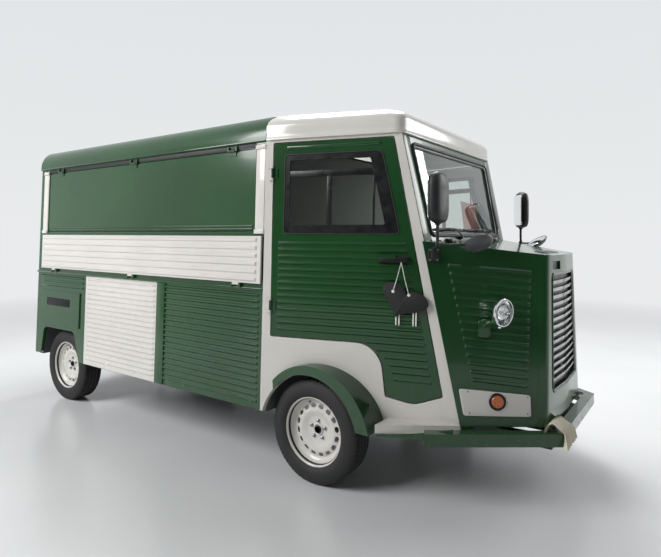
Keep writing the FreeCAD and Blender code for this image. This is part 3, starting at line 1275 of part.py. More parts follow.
def fittings():
    seats = []
    for side in (RIGHT, LEFT):
        x, y = axle(-d.seatRearBack), side * d.seatCentre - d.seatWidth / 2
        base = box(x, y, d.seatLow, d.seatLength, d.seatWidth, d.seatHeight)
        back = box(x - d.backSkin, y, d.seatLow, d.backSkin, d.seatWidth, d.backHeight)
        legs = box(x, y + d.seatWidth / 4, d.floorTop, d.seatLength, d.seatWidth / 2, d.seatLow - d.floorTop)
        seats.append(fuse("Seat", base, back, legs))
    node("seats", gather("seats", *seats))
    dash = newBody("dashboard")
    face = one / root(one + d.pillarRake * d.pillarRake)
    back = d.frameSkin / face + d.fitGap
    outline = [(axle(pillarX(d.dashLow)) - back, d.dashLow), (axle(pillarX(d.dashHigh)) - back, d.dashHigh, d.dashRound),
               (axle(pillarX(d.dashHigh)) - back - d.dashDepth, d.dashHigh - d.dashRound, d.dashRound),
               (axle(pillarX(d.dashHigh)) - back - d.dashDepth, d.dashLow + d.dashRound)]
    pad(dash, sketch(dash, "XZ_Plane", [outline]), d.dashHalf * 2, both=True)
    column = spot(axle(d.steerX), d.steerCentre, d.steerHeight, turn((0, 1, 0), -d.steerTilt))
    socket = rod(0, 0, 0, d.columnRadius + d.fitGap, d.columnLength + d.fitGap, (0, 0, -1), "Socket")
    socket.Placement = column * socket.Placement
    node("dashboard", cut("dashboard", dash, socket))
    wheel = newBody("SteerRing")
    ring = sketch(wheel, "XZ_Plane", [(d.steerRadius, ZERO, d.steerTube)])
    revolve(wheel, ring, "V_Axis")
    hub = rod(0, 0, -d.steerHub, d.steerHub, d.steerHub, (0, 0, 1), "Hub")
    spokes = [rod(0, 0, -d.steerSpoke, d.steerSpoke, d.steerRadius, (math.cos(math.radians(a)), math.sin(math.radians(a)), 0))
              for a in range(SPOKE_START, FULL_TURN, FULL_TURN // 3)]
    shaft = rod(0, 0, -d.columnLength, d.columnRadius, d.columnLength, (0, 0, 1))
    wheel = fuse("steering_wheel", wheel, hub, shaft, *spokes)
    wheel.Placement = column
    node("steering_wheel", wheel)
    rest = d.floorTop - d.floorSkin
    node("engine_block", box(axle(d.engineRear), -d.engineHalf, rest, d.engineLength, d.engineHalf * 2,
                             d.engineHeight, "engine_block"))


buildWheels()
knuckle("knuckle_right", RIGHT)
knuckle("knuckle_left", LEFT)
frontAxle()
rearAxle()
chassis()
floorPan()
hatchParts()
lowerPanels()
leftWall()
rearWall()
boxRoof()
cabRoof()
cabSides()
cabFront()
noseSides()
noseFront()
fenders()
bumper()
lamps()
mirrors()
fittings()

doc.recompute()

for item in doc.Objects:
    if "Invalid" in item.State or "Error" in item.State:
        raise RuntimeError(f"{item.Label} failed: {item.State}")
for name, item in nodes.items():
    if item.Shape.isNull() or not item.Shape.isValid():
        raise RuntimeError(f"{name} has no valid shape")

os.makedirs("parts", exist_ok=True)
for name, item in nodes.items():
    item.Shape.exportStep(os.path.join("parts", f"{name}.step"))
print(f"{len(nodes)} nodes written")
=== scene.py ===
import math

import bmesh
import bpy
from mathutils import Matrix, Vector


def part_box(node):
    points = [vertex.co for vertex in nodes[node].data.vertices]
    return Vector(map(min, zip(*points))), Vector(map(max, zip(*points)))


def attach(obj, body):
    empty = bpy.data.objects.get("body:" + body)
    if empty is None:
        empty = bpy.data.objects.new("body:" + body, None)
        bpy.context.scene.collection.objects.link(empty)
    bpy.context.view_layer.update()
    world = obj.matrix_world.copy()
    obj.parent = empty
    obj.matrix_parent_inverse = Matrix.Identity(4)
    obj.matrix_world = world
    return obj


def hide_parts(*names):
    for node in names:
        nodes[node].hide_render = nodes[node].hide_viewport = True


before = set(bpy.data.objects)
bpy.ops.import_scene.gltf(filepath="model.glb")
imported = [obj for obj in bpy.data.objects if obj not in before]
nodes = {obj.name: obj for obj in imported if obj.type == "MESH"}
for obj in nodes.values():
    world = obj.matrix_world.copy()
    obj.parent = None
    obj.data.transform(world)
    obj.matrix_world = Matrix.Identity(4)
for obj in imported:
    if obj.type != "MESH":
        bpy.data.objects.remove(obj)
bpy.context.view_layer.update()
print("frame loaded:", len(nodes), "nodes")


# Colours and shader nodes

def linear(hexColour):
    shares = [int(hexColour[i:i + 2], 16) / 255 for i in (1, 3, 5)]
    return tuple(c / 12.92 if c <= 0.04045 else ((c + 0.055) / 1.055) ** 2.4 for c in shares) + (1.0,)


def addNode(tree, kind, inputs=None, **settings):
    # Adds a node, with a value, a hex colour or a link for each input, and gives its outputs.
    made = tree.nodes.new("ShaderNode" + kind)
    for key, value in settings.items():
        setattr(made, key, value)
    for key, value in (inputs or {}).items():
        if isinstance(value, bpy.types.NodeSocket):
            tree.links.new(value, made.inputs[key])
        else:
            made.inputs[key].default_value = linear(value) if isinstance(value, str) else value
    return made.outputs


def startMaterial(name):
    made = bpy.data.materials.new(name)
    made.use_nodes = True
    made.node_tree.nodes.clear()
    return made, made.node_tree, addNode(made.node_tree, "TexCoord")["Object"]


def finishMaterial(made, tree, inputs):
    addNode(tree, "OutputMaterial", {"Surface": addNode(tree, "BsdfPrincipled", inputs)["BSDF"]})
    return made


def perMetre(sizeMm):
    # A texture's scale for features of this size, since coordinates are in metres.
    return 1000 / sizeMm


def patches(tree, place, sizeMm, spread=(0.3, 0.7), results=(0.0, 1.0), detail=3.0):
    # Soft patches: the part of an uneven field inside the spread, stretched to the results.
    field = addNode(tree, "TexNoise", {"Vector": place, "Scale": perMetre(sizeMm), "Detail": detail})["Fac"]
    limits = dict(zip(range(1, 5), (*spread, *results)))
    return addNode(tree, "MapRange", {0: field, **limits})[0]


# Body paint: two-pack gloss enamel sprayed over pressed sheet steel

enamel = {"toneMm": 900, "toneSpread": (0.35, 0.65), "dustMm": 60, "dustDetail": 6.0, "dustFrom": 0.75,
          "dustFull": 0.3, "dustShare": 0.03, "dustColour": "#b9b4a8", "roughness": 0.16,
          "dustRoughness": 0.35, "peelMm": 2.4, "peelDepth": 0.00004, "waveMm": 260, "waveDepth": 0.0012,
          "fieldDetail": 1.0, "specular": 0.42, "ior": 1.5, "coat": 0.3, "coatRoughness": 0.05,
          "edgeRadius": 0.004, "edgeSamples": 4, "lining": "#c9cac6", "ceiling": 2.14, "rearWall": -2.2,
          "inward": -0.6}


def inwardShare(tree, place):
    # One on the faces that look into the truck: its walls, its ceiling and its back.
    axes = addNode(tree, "SeparateXYZ", {0: place})
    facing = addNode(tree, "SeparateXYZ", {0: addNode(tree, "TexCoord")["Normal"]})
    leftOrRight = addNode(tree, "Math", {0: axes["Y"]}, operation="SIGN")[0]
    overhead = addNode(tree, "Math", {0: axes["Z"], 1: enamel["ceiling"]}, operation="GREATER_THAN")[0]
    farBack = addNode(tree, "Math", {0: axes["X"], 1: enamel["rearWall"]}, operation="LESS_THAN")[0]
    forwards = addNode(tree, "Math", {0: facing["X"], 1: -1.0}, operation="MULTIPLY")[0]
    side = addNode(tree, "Math", {0: facing["Y"], 1: leftOrRight}, operation="MULTIPLY")[0]
    under = addNode(tree, "Math", {0: facing["Z"], 1: overhead}, operation="MULTIPLY")[0]
    back = addNode(tree, "Math", {0: forwards, 1: farBack}, operation="MULTIPLY")[0]
    lowest = addNode(tree, "Math", {0: side, 1: under}, operation="MINIMUM")[0]
    lowest = addNode(tree, "Math", {0: lowest, 1: back}, operation="MINIMUM")[0]
    return addNode(tree, "Math", {0: lowest, 1: enamel["inward"]}, operation="LESS_THAN")[0]


def enamelPaint(name, colour, deepColour, lined=True):
    # Sprayed enamel gives sharp reflections, with faint orange peel and slow waves in the sheet.
    made, tree, place = startMaterial(name)
    tone = patches(tree, place, enamel["toneMm"], enamel["toneSpread"])
    paint = addNode(tree, "Mix", {0: tone, 6: colour, 7: deepColour}, data_type="RGBA")[2]
    height = addNode(tree, "SeparateXYZ", {0: place})["Z"]
    low = addNode(tree, "MapRange", {0: height, 1: enamel["dustFrom"], 2: enamel["dustFull"]})[0]
    settled = patches(tree, place, enamel["dustMm"], detail=enamel["dustDetail"])
    dust = addNode(tree, "Math", {0: low, 1: settled}, operation="MULTIPLY")[0]
    dust = addNode(tree, "Math", {0: dust, 1: enamel["dustShare"]}, operation="MULTIPLY")[0]
    paint = addNode(tree, "Mix", {0: dust, 6: paint, 7: enamel["dustColour"]}, data_type="RGBA")[2]
    if lined:
        # The inside of each wall is lined with pale sheet.
        inside = {0: inwardShare(tree, place), 6: paint, 7: enamel["lining"]}
        paint = addNode(tree, "Mix", inside, data_type="RGBA")[2]
    normal = addNode(tree, "Bevel", {"Radius": enamel["edgeRadius"]}, samples=enamel["edgeSamples"])[0]
    for sizeMm, depth in ((enamel["waveMm"], enamel["waveDepth"]), (enamel["peelMm"], enamel["peelDepth"])):
        field = addNode(tree, "TexNoise", {"Vector": place, "Scale": perMetre(sizeMm),
                                           "Detail": enamel["fieldDetail"]})["Fac"]
        normal = addNode(tree, "Bump", {"Strength": 1.0, "Distance": depth, "Height": field,
                                        "Normal": normal})[0]
    rough = addNode(tree, "MapRange", {0: dust, 2: enamel["dustShare"], 3: enamel["roughness"],
                                       4: enamel["dustRoughness"]})[0]
    return finishMaterial(made, tree, {"IOR": enamel["ior"], "Specular IOR Level": enamel["specular"],
                                       "Coat Weight": enamel["coat"],
                                       "Coat Roughness": enamel["coatRoughness"],
                                       "Base Color": paint, "Roughness": rough, "Normal": normal})


greenEnamel = enamelPaint("green gloss enamel", "#1f4b26", "#1a4120")
whiteEnamel = enamelPaint("warm white gloss enamel", "#d8d5cf", "#d0cdc7")
whiteWheelEnamel = enamelPaint("white wheel enamel", "#dcdad5", "#d3d0ca", lined=False)
print("paints made")


# Other finishes

plastic = {"edgeRadius": 0.002, "edgeSamples": 4, "strength": 0.6, "wearMm": 45, "wear": 0.08,
           "toneMm": 120, "pale": 1.25, "ior": 1.52, "specular": 0.32}


def grainyPlastic(name, colour, grainMm, depth, roughness):
    # Moulded ABS with a spark-eroded grain, which spreads the highlights.
    made, tree, place = startMaterial(name)
    grain = addNode(tree, "TexVoronoi", {"Vector": place, "Scale": perMetre(grainMm)})["Distance"]
    edge = addNode(tree, "Bevel", {"Radius": plastic["edgeRadius"]}, samples=plastic["edgeSamples"])[0]
    bump = addNode(tree, "Bump", {"Strength": plastic["strength"], "Distance": depth, "Height": grain,
                                  "Normal": edge})[0]
    wear = (roughness - plastic["wear"], roughness + plastic["wear"])
    worn = patches(tree, place, plastic["wearMm"], results=wear)
    pale = tuple(c * plastic["pale"] for c in linear(colour)[:3]) + (1.0,)
    tone = patches(tree, place, plastic["toneMm"])
    tone = addNode(tree, "Mix", {0: tone, 6: colour, 7: pale}, data_type="RGBA")[2]
    return finishMaterial(made, tree, {"IOR": plastic["ior"], "Specular IOR Level": plastic["specular"],
                                       "Base Color": tone, "Roughness": worn, "Normal": bump})


curedRubber = {"bloomMm": 70, "bloomSpread": (0.42, 0.75), "bloomDetail": 6.0, "bloomShare": 0.14,
               "bloomColour": "#4a4845", "bloomRoughness": 0.12, "grainMm": 1.6, "grainDetail": 2.0,
               "strength": 0.4, "depth": 0.0003, "ior": 1.52}


def rubber(name, colour, roughness):
    # Cured rubber: matt, with a dusty bloom in patches.
    made, tree, place = startMaterial(name)
    bloom = patches(tree, place, curedRubber["bloomMm"], curedRubber["bloomSpread"],
                    detail=curedRubber["bloomDetail"])
    share = addNode(tree, "Math", {0: bloom, 1: curedRubber["bloomShare"]}, operation="MULTIPLY")[0]
    tone = addNode(tree, "Mix", {0: share, 6: colour, 7: curedRubber["bloomColour"]},
                   data_type="RGBA")[2]
    grain = addNode(tree, "TexNoise", {"Vector": place, "Scale": perMetre(curedRubber["grainMm"]),
                                       "Detail": curedRubber["grainDetail"]})["Fac"]
    fine = addNode(tree, "Bump", {"Strength": curedRubber["strength"], "Distance": curedRubber["depth"],
                                  "Height": grain})[0]
    rough = addNode(tree, "MapRange", {0: bloom, 3: roughness,
                                       4: roughness + curedRubber["bloomRoughness"]})[0]
    return finishMaterial(made, tree, {"IOR": curedRubber["ior"], "Base Color": tone, "Roughness": rough,
                                       "Normal": fine})


coat = {"patchMm": 90, "patchSpread": (0.5, 0.72), "patchDetail": 8.0, "gritDetail": 3.0, "strength": 0.5,
        "wornRoughness": 0.2}


def coatedMetal(name, colour, roughness, metallic=0.0, gritMm=8.0, depth=0.0002, rust="#4a3426",
                rustShare=0.12):
    # Chassis black or cast iron: a rough coat over metal, with brown dirt in patches.
    made, tree, place = startMaterial(name)
    patch = patches(tree, place, coat["patchMm"], coat["patchSpread"], detail=coat["patchDetail"])
    share = addNode(tree, "Math", {0: patch, 1: rustShare}, operation="MULTIPLY")[0]
    tone = addNode(tree, "Mix", {0: share, 6: colour, 7: rust}, data_type="RGBA")[2]
    grit = addNode(tree, "TexNoise", {"Vector": place, "Scale": perMetre(gritMm),
                                      "Detail": coat["gritDetail"]})["Fac"]
    bump = addNode(tree, "Bump", {"Strength": coat["strength"], "Distance": depth, "Height": grit})[0]
    rough = addNode(tree, "MapRange", {0: patch, 3: roughness, 4: roughness + coat["wornRoughness"]})[0]
    return finishMaterial(made, tree, {"Metallic": metallic, "Base Color": tone, "Roughness": rough,
                                       "Normal": bump})


polish = {"smearDetail": 5.0, "smearRoughness": 0.07}


def polishedMetal(name, colour, roughness, smearMm=30):
    # Chromed or polished metal, with faint smears that break the reflection.
    made, tree, place = startMaterial(name)
    smear = patches(tree, place, smearMm, results=(roughness, roughness + polish["smearRoughness"]),
                    detail=polish["smearDetail"])
    return finishMaterial(made, tree, {"Metallic": 1.0, "Base Color": colour, "Roughness": smear})


def clearGlass(name, tint, roughness=0.0):
    # Float glass, which tints what is seen through it and mirrors the studio at a slant.
    made, tree, _ = startMaterial(name)
    shader = addNode(tree, "BsdfPrincipled", {"Base Color": tint, "Roughness": roughness, "IOR": 1.5,
                                              "Transmission Weight": 1.0})["BSDF"]
    # Light falls through the glass into the cab.
    path = addNode(tree, "LightPath")
    through = addNode(tree, "Math", {0: path["Is Shadow Ray"], 1: path["Is Diffuse Ray"]},
                      operation="MAXIMUM")[0]
    clear = addNode(tree, "BsdfTransparent", {"Color": tint})[0]
    addNode(tree, "OutputMaterial", {0: addNode(tree, "MixShader", {0: through, 1: shader, 2: clear})[0]})
    return made


lens = {"prismMm": 7.0, "spread": (0.1, 0.6), "strength": 0.7, "depth": 0.0012, "roughness": 0.12,
        "ior": 1.49, "coatRoughness": 0.03}


def lensPlastic(name, colour, deepColour):
    # Moulded acrylic lens: its prisms stand up as a fine grid of cells, whose bright middles and dark edges
    # are painted highlights and painted shade.
    made, tree, place = startMaterial(name)
    cells = addNode(tree, "TexVoronoi", {"Vector": place, "Scale": perMetre(lens["prismMm"])})["Distance"]
    # Painted highlights at the middle of each cell and painted shade towards its edge.
    shade = addNode(tree, "MapRange", {0: cells, 1: lens["spread"][0], 2: lens["spread"][1]})[0]
    tone = addNode(tree, "Mix", {0: shade, 6: colour, 7: deepColour}, data_type="RGBA")[2]
    bump = addNode(tree, "Bump", {"Strength": lens["strength"], "Distance": lens["depth"],
                                  "Height": cells})[0]
    return finishMaterial(made, tree, {"Roughness": lens["roughness"], "IOR": lens["ior"], "Coat Weight": 1.0,
                                       "Coat Roughness": lens["coatRoughness"], "Base Color": tone,
                                       "Normal": bump})


cloth = {"strength": 0.5, "depth": 0.0006, "roughness": 0.85, "sheen": 0.3, "sheenRoughness": 0.4}


def wovenCloth(name, colour, otherColour, threadMm):
    # Woven cloth: over-and-under threads, drawn coarser than real so that they show.
    made, tree, place = startMaterial(name)
    axes = addNode(tree, "SeparateXYZ", {0: place})
    pitch = math.pi * perMetre(threadMm)
    waves = []
    for axis in ("X", "Y", "Z"):
        turned = addNode(tree, "Math", {0: axes[axis], 1: pitch}, operation="MULTIPLY")[0]
        waves.append(addNode(tree, "Math", {0: turned}, operation="SINE")[0])
    along = addNode(tree, "Math", {0: waves[0], 1: waves[2]}, operation="ADD")[0]
    weave = addNode(tree, "Math", {0: along, 1: waves[1]}, operation="MULTIPLY")[0]
    share = addNode(tree, "MapRange", {0: weave, 1: -1.0})[0]
    tone = addNode(tree, "Mix", {0: share, 6: colour, 7: otherColour}, data_type="RGBA")[2]
    bump = addNode(tree, "Bump", {"Strength": cloth["strength"], "Distance": cloth["depth"],
                                  "Height": weave})[0]
    return finishMaterial(made, tree, {"Roughness": cloth["roughness"], "Sheen Weight": cloth["sheen"],
                                       "Sheen Roughness": cloth["sheenRoughness"], "Base Color": tone,
                                       "Normal": bump})


blackPlastic = grainyPlastic("black grained ABS", "#1b1c1d", 1.6, 0.0002, 0.48)
blackTrim = grainyPlastic("black satin trim", "#0c0d0e", 2.5, 0.0001, 0.34)
gasketRubber = rubber("black gasket rubber", "#121212", 0.55)
tyreRubber = rubber("tyre rubber", "#191919", 0.68)
chassisBlack = coatedMetal("chassis black", "#17181a", 0.45)
castIron = coatedMetal("cast iron", "#3c3b39", 0.6, 0.6, gritMm=4.0, depth=0.0006, rustShare=0.5)
floorPaint = coatedMetal("grey floor paint", "#6d6f70", 0.5, rust="#4d4b47", rustShare=0.5)
chrome = polishedMetal("chrome plate", "#dfe1e2", 0.05)
silverPaint = coatedMetal("pale silver grille paint", "#c6c8c6", 0.35, 0.2, rust="#8d8e8b", rustShare=0.3)
zinc = polishedMetal("zinc plated steel", "#8f9294", 0.28, 12)
windowGlass = clearGlass("window glass", "#dfe6e3")
lampGlass = clearGlass("lamp glass", "#f4f6f6", 0.02)
mirrorSilver = polishedMetal("mirror silver", "#e6e9ea", 0.01, 200)
amberLens = lensPlastic("amber acrylic", "#d8741c", "#a34a0c")
bulbGlass = clearGlass("bulb glass", "#fff6dc")
greyPlastic = grainyPlastic("dark grey moulded plastic", "#4a4c4d", 2.0, 0.0001, 0.35)
redLens = lensPlastic("red acrylic", "#b01a14", "#6f0d0b")
seatCloth = wovenCloth("grey seat cloth", "#3a3d42", "#24262a", 3.0)
print("finishes made")


# What each CAD node is finished in

corners = ("front_right", "front_left", "rear_right", "rear_left")
finishes = (
    (greenEnamel, ("side_frame_right", "lower_panels_right", "box_side_left", "box_roof", "rear_frame",
                   "cab_front", "nose_sides", "nose_front", "bonnet", "front_fenders", "bumper", "door_right",
                   "door_left", "hatch", "tailgate", "rear_door_right", "rear_door_left")),
    (whiteEnamel, ("service_panel", "cab_roof", "cab_sides", "counter")),
    (whiteWheelEnamel, tuple("rim_" + corner for corner in corners)),
    (chassisBlack, ("chassis_frame", "front_axle", "rear_axle", "knuckle_right", "knuckle_left")),
    (floorPaint, ("floor_pan", "wheel_housings")),
    (castIron, ("engine_block",)),
    (windowGlass, ("windscreen_glass", "door_glass_right", "door_glass_left")),
    (silverPaint, ("grille",)),
    (chrome, ("headlamps",)),
    (amberLens, ("indicators",)),
    (redLens, ("tail_lamps",)),
    (blackPlastic, ("mirrors", "dashboard", "steering_wheel")),
    (seatCloth, ("seats",)),
    (tyreRubber, tuple("tyre_" + corner for corner in corners)),
)
for material, members in finishes:
    for member in members:
        nodes[member].data.materials.clear()
        nodes[member].data.materials.append(material)
print("CAD nodes dressed")


# The truck's flat faces, so that every added piece lies on one: millimetres, x from the front axle

truck = {"axleX": 981.5, "groundHalf": 1033.5, "sideLean": 0.026, "boxRear": -3280, "boxFront": -360,
         "cabRear": -330, "cabTaper": 0.279, "pillarTop": 500, "pillarRake": 0.209, "cabHead": 2135,
         "noseAnchor": 845, "noseHalf": 765, "noseTaper": 0.7133, "noseLean": 0.1118, "noseTopX": 1231,
         "noseLowX": 1253, "noseTop": 1412, "noseLow": 460, "bonnetFall": 0.134, "prow": 15,
         "prowRise": 0.02}
right, left = -1, 1
sideNames = {right: "right", left: "left"}


def flatWall(half, taper, lean):
    # The place at a distance out from a side wall, whose half width falls forwards and upwards.
    def place(side):
        normal = Vector((taper, side, lean)).normalized()

        def at(x, z, out=0.0):
            start = Vector((truck["axleX"] + x, side * (half - taper * x - lean * z), z))
            return (start + normal * out) / 1000
        return at
    return place


boxSide = flatWall(truck["groundHalf"], 0.0, truck["sideLean"])
cabSide = flatWall(truck["groundHalf"] + truck["cabTaper"] * truck["cabRear"], truck["cabTaper"],
                   truck["sideLean"])
noseSide = flatWall(truck["noseHalf"] + truck["noseTaper"] * truck["noseAnchor"], truck["noseTaper"],
                    truck["noseLean"])


def outwards(wall):
    return wall(0, 0, 1) - wall(0, 0)


def noseHalfAt(x, z):
    return truck["noseHalf"] - (x - truck["noseAnchor"]) * truck["noseTaper"] - truck["noseLean"] * z


def screenX(z):
    return truck["pillarTop"] + (truck["cabHead"] - z) * truck["pillarRake"]


def screenPlace(y, z, out=0.0):
    normal = Vector((1.0, 0.0, truck["pillarRake"])).normalized()
    return (Vector((truck["axleX"] + screenX(z), y, z)) + normal * out) / 1000


def noseFrontX(z):
    share = (z - truck["noseLow"]) / (truck["noseTop"] - truck["noseLow"])
    return truck["noseLowX"] + (truck["noseTopX"] - truck["noseLowX"]) * share


def prowPlace(y, z, out=0.0):
    # The front is a shallow prow: it runs forward to the middle line.
    reach = noseHalfAt(truck["noseTopX"], truck["noseTop"])
    x = truck["axleX"] + noseFrontX(z) + truck["prow"] * (1 - abs(y) / reach)
    normal = Vector((1.0, math.copysign(truck["prow"] / reach, y), truck["prowRise"])).normalized()
    return (Vector((x, y, z)) + normal * out) / 1000


def bonnetPlace(x, y, out=0.0):
    z = truck["noseTop"] + truck["bonnetFall"] * (truck["noseTopX"] - x)
    normal = Vector((truck["bonnetFall"], 0.0, 1.0)).normalized()
    return (Vector((truck["axleX"] + x, y, z)) + normal * out) / 1000


# Mesh building

def addBands(bm, rings, paint=0, capped=True):
    # Faces from ring to ring, and over each end that isn't a single point.
    faces = []
    for low, high in zip(rings, rings[1:]):
        count = max(len(low), len(high))
        for i in range(count):
            j = (i + 1) % count
            corners = (low[i % len(low)], low[j % len(low)], high[j % len(high)], high[i % len(high)])
            faces.append(list(dict.fromkeys(corners)))
    if capped:
        faces += [ring for ring in (rings[0], rings[-1]) if len(ring) > 1]
    for corners in faces:
        bm.faces.new(corners).material_index = paint


def circle(radius, steps, turned=0.0):
    angles = [math.tau * i / steps + turned for i in range(steps)]
    return [Vector((radius * math.cos(angle), radius * math.sin(angle), 0.0)) for angle in angles]


def addLathe(bm, start, aim, profile, steps=40, paint=0):
    # Turned from (radius, height) pairs along the aim, in millimetres.
    lift = Vector((0.0, 0.0, 1.0)).rotation_difference(Vector(aim))
    rings = [[bm.verts.new(start + lift @ (spot + Vector((0.0, 0.0, height))) / 1000)
              for spot in circle(radius, steps if radius else 1)] for radius, height in profile]
    addBands(bm, rings, paint)


tube = {"steepest": 0.9}


def addTube(bm, path, radius, sides=10, closed=False, paint=0):
    count = len(path)
    steep = abs((path[1] - path[0]).normalized().z) >= tube["steepest"]
    up = Vector((1.0, 0.0, 0.0)) if steep else Vector((0.0, 0.0, 1.0))
    rings = []
    for i, point in enumerate(path):
        ahead = path[(i + 1) % count] if closed or i < count - 1 else point
        behind = path[i - 1] if closed or i else point
        along = (ahead - behind).normalized()
        across = along.cross(up).normalized()
        up = across.cross(along).normalized()
        rings.append([bm.verts.new(point + (across * spot.x + up * spot.y) / 1000)
                      for spot in circle(radius, sides)])
    addBands(bm, rings + rings[:1] if closed else rings, paint, not closed)


def rounded(corners, radius, steps=6):
    # A closed outline whose corners are rounded off.
    made = []
    for i, corner in enumerate(corners):
        point, before, after = Vector(corner), Vector(corners[i - 1]), Vector(corners[(i + 1) % len(corners)])
        enter = point + (before - point).normalized() * radius
        leave = point + (after - point).normalized() * radius
        made += bent(enter, point, leave, steps)
    return made


def bent(enter, corner, leave, steps):
    # A curve that turns a corner.
    return [enter * (1 - share) ** 2 + corner * (2 * share * (1 - share)) + leave * share ** 2
            for share in (k / steps for k in range(steps + 1))]


plate = {"edge": 1.5, "easedShare": 0.3, "mitreLimit": 0.4}


def inset(outline, amount):
    # The outline drawn in evenly by a distance.
    points = [Vector(p) for p in outline]
    turn = sum(a.x * b.y - b.x * a.y for a, b in zip(points, points[1:] + points[:1]))
    turn = math.copysign(1.0, turn)
    made = []
    for i, point in enumerate(points):
        first = (point - points[i - 1]).normalized()
        second = (points[(i + 1) % len(points)] - point).normalized()
        normal = Vector((-first.y - second.y, first.x + second.x)) * turn
        made.append(point + normal * amount / max(plate["mitreLimit"], 1 + first.dot(second)))
    return made


def bar(rear, front, low, high):
    return [(rear, low), (front, low), (front, high), (rear, high)]


def addPlate(bm, place, outline, low, high, edge=plate["edge"], paint=0):
    # A plate that stands from one distance off a face to another, its outer edge eased.
    eased = edge * plate["easedShare"]
    levels = ((outline, low), (outline, high - edge), (inset(outline, eased), high - eased),
              (inset(outline, edge), high))
    addBands(bm, [[bm.verts.new(place(p[0], p[1], out)) for p in level] for level, out in levels], paint)


def addFrame(bm, place, outer, inner, low, high, edge=plate["edge"]):
    # A closed frame between two outlines with as many points each.
    levels = ((outer, low), (outer, high - edge), (inset(outer, edge), high), (inset(inner, -edge), high),
              (inner, high - edge), (inner, low))
    rings = [[bm.verts.new(place(p[0], p[1], out)) for p in level] for level, out in levels]
    addBands(bm, rings + rings[:1], capped=False)


def addSheetMetal(bm, outer, inner, skipped=(), ringed=False):
    # Sheet between two grids of places, with the skipped cells left open and every edge closed.
    grids = [[[bm.verts.new(p) for p in row] for row in grid] for grid in (outer, inner)]
    columns = len(outer[0])
    wide = columns if ringed else columns - 1
    cells = {(r, c) for r in range(len(outer) - 1) for c in range(wide)} - set(skipped)

    def addFace(corners):
        bm.faces.new([grids[g][r][c % columns] for g, r, c in corners])

    for r, c in sorted(cells):
        before, after = ((c - 1) % columns, (c + 1) % columns) if ringed else (c - 1, c + 1)
        for g in (0, 1):
            addFace(((g, r, c), (g, r, c + 1), (g, r + 1, c + 1), (g, r + 1, c)))
        edges = (((r - 1, c), (r, c), (r, c + 1)), ((r + 1, c), (r + 1, c), (r + 1, c + 1)),
                 ((r, before), (r, c), (r + 1, c)), ((r, after), (r, c + 1), (r + 1, c + 1)))
        for beside, a, b in edges:
            if beside not in cells:
                addFace(((0, *a), (0, *b), (1, *b), (1, *a)))


def smoothPath(points, steps=8):
    # A curve through the points, for bent tube and wire.
    made = []
    for i in range(len(points) - 1):
        a, b, c, d = points[max(0, i - 1)], points[i], points[i + 1], points[min(len(points) - 1, i + 2)]
        for k in range(steps):
            t = k / steps
            made.append((b * 2 + (c - a) * t + (a * 2 - b * 5 + c * 4 - d) * t ** 2
                         + (b * 3 - a - c * 3 + d) * t ** 3) / 2)
    return made + [points[-1]]


def newObject(name, mesh):
    made = bpy.data.objects.new(name, mesh)
    bpy.context.scene.collection.objects.link(made)
    return made


def newPiece(name, bm, materials, body="truck_body", replaced=(), angle=32):
    bmesh.ops.recalc_face_normals(bm, faces=bm.faces)
    mesh = bpy.data.meshes.new(name)
    bm.to_mesh(mesh)
    bm.free()
    for material in materials:
        mesh.materials.append(material)
    mesh.shade_smooth()
    mesh.set_sharp_from_angle(angle=math.radians(angle))
    made = newObject(name, mesh)
    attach(made, body)
    if replaced:
        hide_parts(*replaced)
    return made


# Tyres: radial carcass with ribs of zigzag tread blocks

tyre = {"tread": 74, "grooves": (-46, -16, 16, 46), "grooveHalf": 3.5, "grooveWall": 1, "grooveDepth": 7,
        "pitches": 66, "zigzag": 2.6, "bendShare": 0.2, "shoulder": 52, "shoulderEdge": 6,
        "sipeParts": (1, 2), "sipeShares": (0.0, 0.06, 0.2, 0.26, 0.63), "sipeDepth": 6, "crown": 3.0,
        "bead": ((62, 196), (-62, 196)),
        "sidewall": ((77, 308), (84, 301), (90, 286), (93.5, 268), (95, 252), (93.5, 236), (88, 222),
                     (80, 212), (74, 207)), "sharpAngle": 40}


def tyreSection():
    # Across the tread from one shoulder to the other: width, how deep, and whether it zigzags.
    tread, half, shoulder = tyre["tread"], tyre["grooveHalf"], tyre["shoulder"] + tyre["shoulderEdge"]
    across = [(-tread, 0, 0), (-shoulder, 0, 0)]
    for groove in tyre["grooves"]:
        outer = half + tyre["grooveWall"]
        across += [(groove - outer, 0, 1), (groove - half, 1, 1), (groove + half, 1, 1),
                   (groove + outer, 0, 1)]
    return across + [(shoulder, 0, 0), (tread, 0, 0)]


def makeTyre(name, node, body):
    low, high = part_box(node)
    centre = (low + high) / 2
    radius = (high.z - low.z) / 2 * 1000
    shares = tyre["sipeShares"]
    bm = bmesh.new()
    rings = []
    for step in range(tyre["pitches"] * len(shares)):
        pitch, part = divmod(step, len(shares))
        angle = math.tau * (pitch + shares[part]) / tyre["pitches"]
        shift = tyre["zigzag"] if shares[part] > tyre["bendShare"] else -tyre["zigzag"]
        section = [(-width, height) for width, height in reversed(tyre["sidewall"])]
        for width, deep, bends in tyreSection():
            siped = abs(width) > tyre["shoulder"] and part in tyre["sipeParts"]
            drop = tyre["sipeDepth"] if siped else tyre["grooveDepth"] * deep
            crown = tyre["crown"] * (width / tyre["tread"]) ** 2
            section.append((width + shift * bends, radius - crown - drop))
        section += tyre["sidewall"] + tyre["bead"]
        out, up = math.sin(angle), math.cos(angle)
        rings.append([bm.verts.new(centre + Vector((reach * out, width, reach * up)) / 1000)
                      for width, reach in section])
    addBands(bm, rings + rings[:1], capped=False)
    newPiece(name, bm, (tyreRubber,), body, (node,), tyre["sharpAngle"])


for corner in corners:
    makeTyre("treadedTyre_" + corner, "tyre_" + corner, "wheel_" + corner)
print("tyres made")


# Wheels: pressed steel with oval slots near the rim, a dark hub and five nuts

